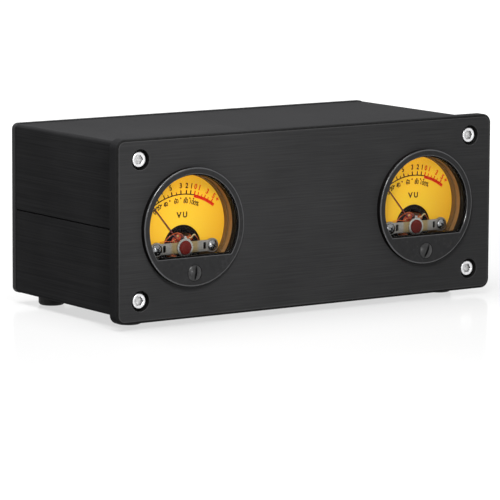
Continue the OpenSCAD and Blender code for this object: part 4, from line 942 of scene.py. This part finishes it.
def lettering(bm, text, height, x, z, turn=0.0, narrow=1.0, bold=number_bold):
    """Flat raised letters of one height, their middle at a point of the dial"""
    words = bpy.data.curves.new("words", "FONT")
    words.body = text
    words.size = 1.0
    words.extrude = 0.01
    words.offset = bold
    carrier = bpy.data.objects.new("words", words)
    bpy.context.scene.collection.objects.link(carrier)
    bpy.context.view_layer.update()
    mesh = bpy.data.meshes.new_from_object(carrier.evaluated_get(bpy.context.evaluated_depsgraph_get()))
    bpy.data.objects.remove(carrier)
    xs = [v.co.x for v in mesh.vertices]
    ys = [v.co.y for v in mesh.vertices]
    size = height / (max(ys) - min(ys))
    middle = Vector(((max(xs) + min(xs)) / 2, (max(ys) + min(ys)) / 2, 0))
    stand = Matrix.Rotation(math.pi / 2, 4, "X")
    deep = Matrix.Diagonal((size * narrow, size, (print_t / 2) / 0.01, 1))
    mesh.transform(Matrix.Translation((x, dial_y - print_t / 2, z)) @ Matrix.Rotation(turn, 4, "Y")
                   @ stand @ deep @ Matrix.Translation(-middle))
    bm.from_mesh(mesh)


def numbered(bm, text, angle, height=number_h, narrow=number_narrow):
    """A number that leans with the needle's angle"""
    a = math.radians(angle)
    lettering(bm, text, height, number_r * math.sin(a), number_r * math.cos(a) - pivot_drop, a, narrow)


def reading(tree, label):
    return add(tree, "GeometryNodeInputNamedAttribute", {"Name": label}, data_type="FLOAT")


ticked, start = tree_of("scale_marks", "Thick")
bar = add(ticked, "GeometryNodeMeshCube", {"Size": (1, 1, 1)})
lean = add(ticked, "ShaderNodeCombineXYZ", {"Y": reading(ticked, "lean")})
size = add(ticked, "ShaderNodeCombineXYZ", {
    "X": reading(ticked, "wide"), "Y": start["Thick"], "Z": reading(ticked, "long")})
marks = add(ticked, "GeometryNodeInstanceOnPoints", {
    "Points": start["Geometry"], "Instance": bar, "Rotation": lean, "Scale": size})
close_tree(ticked, marks, ink_black)


def tick_points(rows):
    """Points with the lean, length and width of a mark each, from rows of x, z, degrees and sizes"""
    mesh = bpy.data.meshes.new("ticks")
    mesh.from_pydata([(x, dial_y - print_t / 2, z) for x, z, *_ in rows], [], [])
    for k, label in enumerate(("lean", "long", "wide")):
        values = mesh.attributes.new(label, "FLOAT", "POINT")
        for spot, row in zip(values.data, rows):
            spot.value = math.radians(row[2]) if k == 0 else row[2 + k]
    return mesh


def outward(angle, start, length, width):
    """One mark that stands on the arc line"""
    a = math.radians(angle)
    r = arc_reach(angle) + start + length / 2
    return (r * math.sin(a), r * math.cos(a) - pivot_drop, angle, length, width)


for side in ("_left", "_right"):
    blacks = through(ticked, tick_points(
        [outward(a, 0, long, wide) for a, long, wide in level_marks]
        + [outward(a, -1.71, 0.56, 0.58) for a in percent_marks]), Thick=print_t)
    stripe(blacks, arc_r - arc_w / 2, arc_r + arc_w / 2, clock_of(scale_low), clock_of(red_low))
    for text, a in black_numbers:
        numbered(blacks, text, a)
    for text, x, z in percents:
        lettering(blacks, text, percent_h, x, z, math.atan2(x, z + pivot_drop), percent_narrow, percent_bold)
    for text, x, narrow in unit_letters:
        lettering(blacks, text, unit_h, x, unit_z, 0.0, narrow)
    black_print = made(blacks, "black_print" + side, ink_black, meters[side])
    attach(black_print, "case")
    reds = through(ticked, tick_points(
        [outward(a, 0, long, wide) for a, long, wide in red_marks]), Thick=print_t)
    stripe(reds, arc_r - red_w, arc_r + arc_w / 2, clock_of(red_low), clock_of(red_high))
    for text, a in red_numbers:
        numbered(reds, text, a)
    numbered(reds, "+", plus_at, plus_h, 1.0)
    red_print = made(reds, "red_print" + side, ink_red, meters[side])
    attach(red_print, "case")

# ---- Rear legends ----
# White ink printed on the black rear panel. Plain words name the sockets, the knob, the switch and
# the supply.
legend_h, legend_off = 2.3, 2.6
legend_white = finish("legend_white", 0.60, 0.74, 1800, (0.5, 0.65), 0.002, gloss=0.2)
sockets_low, sockets_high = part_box("signal_sockets")
out_x, in_x = sockets_low.x / mm + collar_r, sockets_high.x / mm - collar_r
low_z, high_z = sockets_low.z / mm + collar_r, sockets_high.z / mm - collar_r
middle_x = (out_x + in_x) / 2
legends = (("OUT", out_x, high_z + collar_r + legend_off), ("IN", in_x, high_z + collar_r + legend_off),
           ("L", middle_x, high_z), ("R", middle_x, low_z),
           ("LEVEL", knob_place.x / mm, knob_place.z / mm + knob_r + legend_off),
           ("POWER", centre_of("switch_body").x / mm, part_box("switch_body")[1].z / mm + legend_off),
           ("DC IN", centre_of("supply_socket").x / mm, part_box("supply_socket")[0].z / mm - legend_off))
bm = bmesh.new()
for text, x, z in legends:
    lettering(bm, text, legend_h, -x, z)
bm.transform(Matrix.Rotation(math.pi, 4, "Z"))
rear_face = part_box("rear_panel")[1].y
legend = made(bm, "rear_legends", legend_white, (0, rear_face + dial_y * mm, 0))
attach(legend, "case")

# ---- Pointers ----
# A fine dark red needle of stamped aluminium with a hub on the staff; a tail and two side arms
# carry small solder balance weights.
needle_l, needle_w, tip_w, point_w, point_l, blade_most = 20.6, 0.68, 0.42, 0.1, 0.3, 0.2
hub_r, staff_hole_r, tail_l, tail_half, weight_r, weight_in = 1.1, 0.5, 4.2, 0.2, 0.55, 0.6
needle_red = finish("needle_red", (0.085, 0.007, 0.004), (0.16, 0.013, 0.007), 2200, (0.35, 0.5), 0.002)
solder = finish("solder", (0.34, 0.33, 0.32), (0.52, 0.51, 0.5), 1800, (0.25, 0.4), 0.004, metal=0.9)
for side in ("_left", "_right"):
    low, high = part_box("pointer" + side)
    core = centre_of("magnet_core" + side)
    place = Vector((core.x, low.y, core.z))
    thick = (high.y - low.y) / mm
    bm = bmesh.new()
    spread = math.degrees(math.asin(tail_half / hub_r))
    root = math.degrees(math.asin(needle_w / 2 / hub_r))
    outline = arc(hub_r, 0, 0, root, 90 - spread, 8)
    for quarter in (90, 180, 270):
        a = math.radians(quarter)
        out, over = Vector((math.sin(a), math.cos(a))), Vector((math.cos(a), -math.sin(a)))
        outline += [tuple(out * tail_l + over * sign * tail_half) for sign in (-1, 1)]
        if quarter < 270:
            outline += arc(hub_r, 0, 0, quarter + spread, quarter + 90 - spread, 8)
    outline += arc(hub_r, 0, 0, 270 + spread, 360 - root, 8)
    outline += [(-tip_w / 2, needle_l - point_l), (-point_w / 2, needle_l),
                (point_w / 2, needle_l), (tip_w / 2, needle_l - point_l)]
    plate(bm, outline, (circle(staff_hole_r, steps=32),), 0, min(blade_most, thick), 0.02)
    needle = made(bm, "needle" + side, needle_red, place, rest_turn)
    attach(needle, "movement" + side)
    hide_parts("pointer" + side)
    bm = bmesh.new()
    for quarter in (90, 180, 270):
        a = math.radians(quarter)
        r = tail_l - weight_in
        turned(bm, ((0, 0.0), (weight_r - 0.12, 0.0), (weight_r, 0.06), (weight_r, thick - 0.06),
                    (weight_r - 0.08, thick), (0, thick)), r * math.sin(a), r * math.cos(a), 32)
    weights = made(bm, "weights" + side, solder, place, rest_turn)
    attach(weights, "movement" + side)

# ---- Bridges ----
# Stamped bars screwed to the frame's posts, one in front and one behind. The front one has a round
# boss, two slots and a passivated finish that is yellower near the middle.
bar_h, boss_r, end_r, slot_w, slot_in = 4.1, 2.8, 2.65, 1.2, 3.3
jewel_hole_r, screw_hole_r = 1.3, 0.8
straw, straw_share, straw_in, straw_out = (0.30, 0.21, 0.075), 0.85, 5.2, 6.4


def passivated(name, centre):
    """Grey plating that turns straw yellow near the middle of the bar"""
    material = finish(name, (0.20, 0.19, 0.18), (0.35, 0.335, 0.315), (500, 2200, 2200), (0.30, 0.45),
                      0.006, metal=0.75)
    tree = material.node_tree
    shader = tree.nodes["Principled BSDF"]
    where = add(tree, "ShaderNodeTexCoord")
    shift = add(tree, "ShaderNodeMapping", {
        "Vector": where.outputs["Object"], "Location": (-centre.x, -centre.y, -centre.z)})
    parts = add(tree, "ShaderNodeSeparateXYZ", {0: shift})
    near = add(tree, "ShaderNodeMapRange", {
        "Value": maths(tree, "ABSOLUTE", parts.outputs["X"]), "From Min": straw_in * mm,
        "From Max": straw_out * mm, "To Min": straw_share, "To Max": 0.0})
    tint = add(tree, "ShaderNodeMix", {"Factor": near}, data_type="RGBA")
    plain, yellow = [socket for socket in tint.inputs if socket.type == "RGBA"]
    tree.links.new(shader.inputs["Base Color"].links[0].from_socket, plain)
    yellow.default_value = (*straw, 1)
    mixed = [socket for socket in tint.outputs if socket.type == "RGBA"][0]
    tree.links.new(mixed, shader.inputs["Base Color"])
    return material


def bridge_outline():
    half = bar_h / 2
    end_a = math.degrees(math.asin(half / end_r))
    boss_a = math.degrees(math.asin(half / boss_r))
    left = arc(end_r, -post_x, 0, 90 + end_a, 450 - end_a, 40)
    boss_top = arc(boss_r, 0, 0, -(90 - boss_a), 90 - boss_a, 16)
    right = arc(end_r, post_x, 0, -(90 - end_a), 270 - end_a, 40)
    boss_low = arc(boss_r, 0, 0, 90 + boss_a, 270 - boss_a, 16)
    return left + boss_top + right + boss_low


for side in ("_left", "_right"):
    low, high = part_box("front_bridge" + side)
    core = centre_of("magnet_core" + side)
    place = Vector((core.x, low.y, core.z))
    bar_t = (high.y - low.y) / mm
    holes = [circle(jewel_hole_r, steps=40)]
    for sx in (-1, 1):
        holes.append(circle(screw_hole_r, sx * post_x, 0, 24))
        holes.append(round_rectangle(slot_w, bar_h - 1.6, 0.3, sx * (post_x - slot_in), 0, 4))
    plating = passivated("plating" + side, place)
    bm = bmesh.new()
    plate(bm, bridge_outline(), holes, 0, bar_t, 0.08, 2)
    bridge = made(bm, "bridge" + side, plating, place)
    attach(bridge, "case")
    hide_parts("front_bridge" + side)
    dress(plating, "rear_bridge" + side)

# ---- Bridge screws ----
# Small plated steel screws with a domed pan head and a cross slot, two through each bridge into the
# frame.
pan_r, pan_h, pan_rim, pan_edge = 2.0, 1.05, 0.5, 0.05
cross_w, cross_d, cross_points = 0.6, 0.6, 72
cross_l = cross_w / 0.28
fine_thread_r, fine_tip, front_thread_l, rear_thread_l, rear_in = 0.75, 0.2, 5.2, 2.1, 2.0
dark_chrome = finish("dark_chrome", (0.13, 0.13, 0.14), (0.34, 0.34, 0.35), 2200, (0.14, 0.28), 0.006,
                     metal=0.95)
# Painted shade: the cross recess takes a near black.
cross_shade = finish("cross_shade", 0.008, 0.02, 1500, (0.4, 0.55), 0.003, metal=0.3, gloss=0.2)


def pan_screw(bm, length, x, y, z, forward):
    """A domed head with a cross pressed in; forward is -1 where the head faces the front"""
    ball = (pan_r ** 2 + (pan_h - pan_rim) ** 2) / (2 * (pan_h - pan_rim))

    def dome(r):
        return ball - math.sqrt(ball ** 2 - r ** 2)

    def cross(reach, wide):
        """The cross as a ring of as many points as the round dome has"""
        points = []
        for k in range(cross_points):
            a = math.tau * k / cross_points
            local = (a + math.pi / 4) % (math.pi / 2) - math.pi / 4
            r = min(reach, wide / max(abs(math.sin(local)), 1e-6))
            if abs(local) > math.radians(30):
                r = wide * 1.45
            points.append((r * math.sin(a + math.pi / 4), r * math.cos(a + math.pi / 4)))
        return points

    slots = cross(cross_l / 2, cross_w / 2)
    end = pan_h + length
    outlines = [(((0, 0),), cross_d), ([(px * 0.55, pz * 0.55) for px, pz in slots], cross_d * 0.9),
                (slots, None)]
    outlines += [(circle(r), dome(r)) for r in (1.25, 1.45, 1.65, 1.85, pan_r)]
    outlines += [(circle(r), d) for r, d in (
        (pan_r, pan_h - pan_edge), (pan_r - pan_edge, pan_h), (fine_thread_r, pan_h),
        (fine_thread_r, end - fine_tip), (fine_thread_r - fine_tip, end))]
    outlines.append((((0, 0),), end))
    rings = [ring(bm, [(x + px, y - forward * (dome(math.hypot(px, pz)) if d is None else d), z + pz)
                       for px, pz in outline]) for outline, d in outlines]
    # The cross recess takes the painted shade.
    band(bm, *rings[:3], slot=1)
    band(bm, *rings[2:])


bm = parted()
for side in ("_left", "_right"):
    core = centre_of("magnet_core" + side) / mm
    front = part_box("front_bridge" + side)[0].y / mm
    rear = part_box("rear_bridge" + side)[1].y / mm
    rear_x = (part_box("rear_bridge" + side)[1].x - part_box("rear_bridge" + side)[0].x) / mm / 2 - rear_in
    for sx in (-1, 1):
        pan_screw(bm, front_thread_l, core.x + sx * post_x, front - pan_h, core.z, -1)
        pan_screw(bm, rear_thread_l, core.x + sx * rear_x, rear + pan_h, core.z, 1)
pan_screws = made(bm, "pan_screws", dark_chrome, others=(cross_shade,))
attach(pan_screws, "case")
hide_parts("bridge_screws")

# ---- Jewel screws ----
# Threaded brass jewel holders that carry the pivots. The front one is sealed with a blob of dark
# red lacquer; the rear one is bare.
jewel_head_r, jewel_r, jewel_head_t = 2.6, 1.25, 0.5
lacquer = finish("red_lacquer", (0.105, 0.006, 0.005), (0.20, 0.016, 0.011), 420, (0.28, 0.46), 0.05,
                 gloss=0.09, coat=0.03, patches=500.0)
brass = finish("jewel_brass", (0.55, 0.38, 0.13), (0.74, 0.55, 0.24), 1500, (0.2, 0.34), 0.003, metal=1.0)
for side in ("_left", "_right"):
    low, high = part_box("front_jewel" + side)
    core = centre_of("magnet_core" + side)
    length = (high.y - low.y) / mm
    bm = bmesh.new()
    turned(bm, ((0, 0.02), (0.9, 0.0), (1.7, 0.02), (2.2, 0.07), (2.45, 0.15), (jewel_head_r, 0.32),
                (jewel_head_r, jewel_head_t - 0.04), (jewel_head_r - 0.05, jewel_head_t),
                (jewel_r, jewel_head_t), (jewel_r, length), (0.3, length), (0.3, length - 0.6),
                (0, length - 0.62)))
    jewel = made(bm, "lacquered_jewel" + side, lacquer, (core.x, low.y, core.z))
    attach(jewel, "case")
    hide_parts("front_jewel" + side)
    dress(brass, "rear_jewel" + side)

# ---- Zero levers ----
# A thin plated lever that turns on the front jewel. Its ring shows round the red head, its upper
# peak holds the hairspring and its fork below takes the zero screw's pin.
lever_ring_r, lever_t, lever_hole_gap = 3.4, 0.36, 0.06
arm_half, neck_low, peak_half, peak_z = 0.9, 5.45, 0.5, 4.25
fork_out, fork_half, fork_low, fork_deep = 1.6, 0.58, 9.25, 3.1
spring_post_w, spring_post_z = 0.6, 3.95
silver = finish("lever_silver", (0.28, 0.28, 0.27), (0.44, 0.44, 0.43), 1400, (0.22, 0.36), 0.004,
                metal=0.9)


def lever_outline():
    start = math.degrees(math.asin(arm_half / lever_ring_r))
    top = math.degrees(math.asin(peak_half / lever_ring_r))
    points = arc(lever_ring_r, 0, 0, 180 + start, 360 - top, 40)
    points += [(-peak_half, peak_z - 0.25), (-0.3, peak_z), (0.3, peak_z), (peak_half, peak_z - 0.25)]
    points += arc(lever_ring_r, 0, 0, top, 180 - start, 40)
    points += [(arm_half, -neck_low), (fork_out, -neck_low - 0.5), (fork_out, -fork_low + 0.3),
               (fork_out - 0.3, -fork_low), (fork_half, -fork_low), (fork_half, -fork_low + fork_deep)]
    points += [(-x, z) for x, z in reversed(points[-6:])]
    return points


for side in ("_left", "_right"):
    low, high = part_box("zero_lever" + side)
    core = centre_of("magnet_core" + side)
    bm = bmesh.new()
    plate(bm, lever_outline(), (circle(jewel_r + lever_hole_gap, steps=40),), 0, lever_t, 0.06)
    post = round_rectangle(spring_post_w, spring_post_w, 0.08, 0, spring_post_z, 3)
    plate(bm, post, (), lever_t - 0.02, (high.y - low.y) / mm, 0.02)
    lever = made(bm, "fork_lever" + side, silver, (core.x, low.y, core.z))
    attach(lever, "lever" + side)
    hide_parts("zero_lever" + side)

# ---- Bezels ----
# A black moulded ring on each meter, its flat lower part covering the movement's foot. It clips the
# window in a shallow step and its barrel passes through the panel into the cup.
bezel_r, bezel_proud, bezel_round = 21.8, 2.15, 0.5
window_r, window_drop, window_step, window_t, ledge_w = 19.4, 11.0, 0.15, 1.1, 0.5
apron_t, barrel_out_r, barrel_back = 2.0, 20.6, 1.7
zero_drop, zero_hole_r, zero_seat, shank_hole_r = 16.85, 3.0, 0.8, 1.16
chamfer_w, round_steps = 0.22, 166
# Painted shade: the outer side wall, the outer part of the round, the window step, the zero screw's hole and
# the barrel take a near black. The front round and the window's chamfer take a glossier finish, and their
# lighter colour is a painted highlight.
bezel_shade = finish("bezel_shade", 0.004, (0.009, 0.008, 0.008), 700, (0.35, 0.5), 0.004, gloss=0.03)
bezel_gloss_highlight = finish("bezel_gloss_highlight", (0.030, 0.031, 0.034), (0.045, 0.046, 0.050), 700, (0.14, 0.20), 0.002,
                    gloss=0.8)
bezel_black = finish("bezel_black", (0.025, 0.025, 0.026), (0.036, 0.036, 0.037), 700, (0.20, 0.30),
                     0.004, gloss=0.09)


def window_outline(r, drop):
    edge = math.degrees(math.acos(-drop / r))
    points = arc(r, 0, 0, -edge, edge, 150)
    (right, z), (left, _) = points[-1], points[0]
    return points + [(right + (left - right) * k / 16, z) for k in range(1, 16)]


for side in ("_left", "_right"):
    face = -bezel_proud
    bm = parted()
    profile = [(bezel_r - step, face + deep) for step, deep in edge_lines(bezel_round, 6)]
    profile += [(bezel_r, -0.03), (bezel_r - 0.05, 0), (barrel_out_r, 0), (barrel_out_r, barrel_back)]
    rim = [round_ring(bm, r, y, steps=round_steps) for r, y in profile]
    hole_r = window_r - ledge_w
    inner = [ring(bm, at_depth(window_outline(window_r + wider, window_drop + wider), face + y))
             for wider, y in ((chamfer_w, 0), (0, window_step - 0.02), (0, window_step + window_t),
                              (-ledge_w, window_step + window_t), (-ledge_w, apron_t))]
    zero = [round_ring(bm, r, face + y, 0, -zero_drop, 64)
            for r, y in ((zero_hole_r + 0.08, 0), (zero_hole_r, 0.08), (zero_hole_r, zero_seat),
                         (shank_hole_r, zero_seat), (shank_hole_r, apron_t))]
    barrel = [round_ring(bm, hole_r + 0.02, y, steps=round_steps) for y in (face + apron_t, barrel_back)]
    # The front round and the window's chamfer take the glossy painted highlight; the other walls take the
    # painted shade.
    band(bm, *rim[:5], slot=2)
    band(bm, *rim[4:], slot=1)
    band(bm, *inner[:2], slot=2)
    band(bm, *inner[1:], slot=1)
    band(bm, *zero, slot=1)
    band(bm, *barrel, slot=1)
    flat(bm, rim[0], [inner[0], zero[0]])
    flat(bm, rim[-1], [barrel[-1]])
    flat(bm, barrel[0], [inner[-1], zero[-1]])
    bezel = made(bm, "bezel_ring" + side, bezel_black, meters[side], others=(bezel_shade, bezel_gloss_highlight))
    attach(bezel, "case")
    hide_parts("bezel" + side)

# ---- Windows ----
# A clear moulded acrylic window, polished, with its edge a little broken. It lies in the step of
# each bezel, just below its face.
window_gap, window_edge = 0.05, 0.1
clear, tree = new_material("clear_window", bare=True)
where = add(tree, "ShaderNodeTexCoord")
haze = add(tree, "ShaderNodeTexNoise", {"Vector": where.outputs["Object"], "Scale": 120.0})
dull = add(tree, "ShaderNodeMapRange", {"Value": haze, "To Min": 0.02, "To Max": 0.08})
see_through = add(tree, "ShaderNodeBsdfTransparent", {"Color": (0.985, 0.99, 0.985, 1)})
polish = add(tree, "ShaderNodeBsdfGlossy", {"Color": grey(0.8), "Roughness": dull})
amount = add(tree, "ShaderNodeFresnel", {"IOR": 1.12})
mixed = add(tree, "ShaderNodeMixShader", {"Fac": amount, 1: see_through, 2: polish})
add(tree, "ShaderNodeOutputMaterial", {"Surface": mixed})
for side in ("_left", "_right"):
    front = -bezel_proud + window_step
    bm = bmesh.new()
    plate(bm, window_outline(window_r - window_gap, window_drop - window_gap), (), front,
          front + window_t, window_edge, 2)
    window = made(bm, "window" + side, clear, meters[side])
    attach(window, "case")
    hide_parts("lens" + side)

# ---- Zero screws ----
# A glossy black domed screw in the flat part of each bezel, slotted for a screwdriver. The pin on
# its back sits off centre and swings the zero lever.
dome_r, dome_h, slot_wide, pin_r, pin_off, shank_r = 2.9, 0.9, 0.9, 0.45, 1.0, 1.1
clip_w, clip_t, seat_gap = 0.6, 0.5, 0.02
slot_turns = {"_left": 8.0, "_right": 24.0}
gloss_black = finish("gloss_black", 0.005, (0.012, 0.012, 0.013), 900, (0.25, 0.37), 0.006, gloss=0.5)


def half_dome(bm, sign):
    """One side of the domed head, as far as the wall of its slot"""
    ball = (dome_r ** 2 + dome_h ** 2) / (2 * dome_h)
    half = slot_wide / 2
    top = []
    rows, columns = 12, 24
    for i in range(rows + 1):
        x = half + (dome_r - half) * math.sin(math.pi / 2 * i / rows)
        reach = math.sqrt(max(dome_r ** 2 - x ** 2, 0))
        line = []
        for k in range(columns + 1):
            z = reach * math.sin(math.pi / 2 * (2 * k / columns - 1))
            r = min(math.hypot(x, z), dome_r)
            y = ball - math.sqrt(ball ** 2 - r ** 2)
            line.append((sign * x, y, z))
        top.append(ring(bm, line))
    low = [ring(bm, [(corner.co.x, dome_h + 0.02, corner.co.z) for corner in line]) for line in top]
    for sheet in (top, low):
        for near, far in zip(sheet, sheet[1:]):
            for k in range(columns):
                bm.faces.new((near[k], near[k + 1], far[k + 1], far[k]))
    band(bm, *[sheet[0] + [line[-1] for line in sheet[1:-1]] + sheet[-1][::-1]
               + [line[0] for line in sheet[-2:0:-1]] for sheet in (top, low)])


for side in ("_left", "_right"):
    low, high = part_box("zero_screw" + side)
    screw = centre_of("zero_screw" + side)
    turn = math.radians(slot_turns[side])
    bm = bmesh.new()
    for sign in (-1, 1):
        half_dome(bm, sign)
    under, behind = dome_h + zero_seat - seat_gap, dome_h + apron_t + seat_gap
    turned(bm, ((0, dome_h), (dome_r, dome_h), (dome_r, under), (shank_r, under), (shank_r, behind),
                (shank_r + clip_w, behind), (shank_r + clip_w, behind + clip_t),
                (0, behind + clip_t)), steps=64)
    head = made(bm, "zero_head" + side, gloss_black, (screw.x, low.y, screw.z), turn)
    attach(head, "zero" + side)
    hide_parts("zero_screw" + side)
    bm = bmesh.new()
    end = (high.y - low.y) / mm
    inside = behind + clip_t - 0.12
    turned(bm, ((0, inside), (pin_r, inside), (pin_r, end - 0.1), (pin_r - 0.1, end), (0, end)),
           0, pin_off, 24)
    pin = made(bm, "zero_pin" + side, gloss_black, (screw.x, low.y, screw.z))
    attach(pin, "zero" + side)
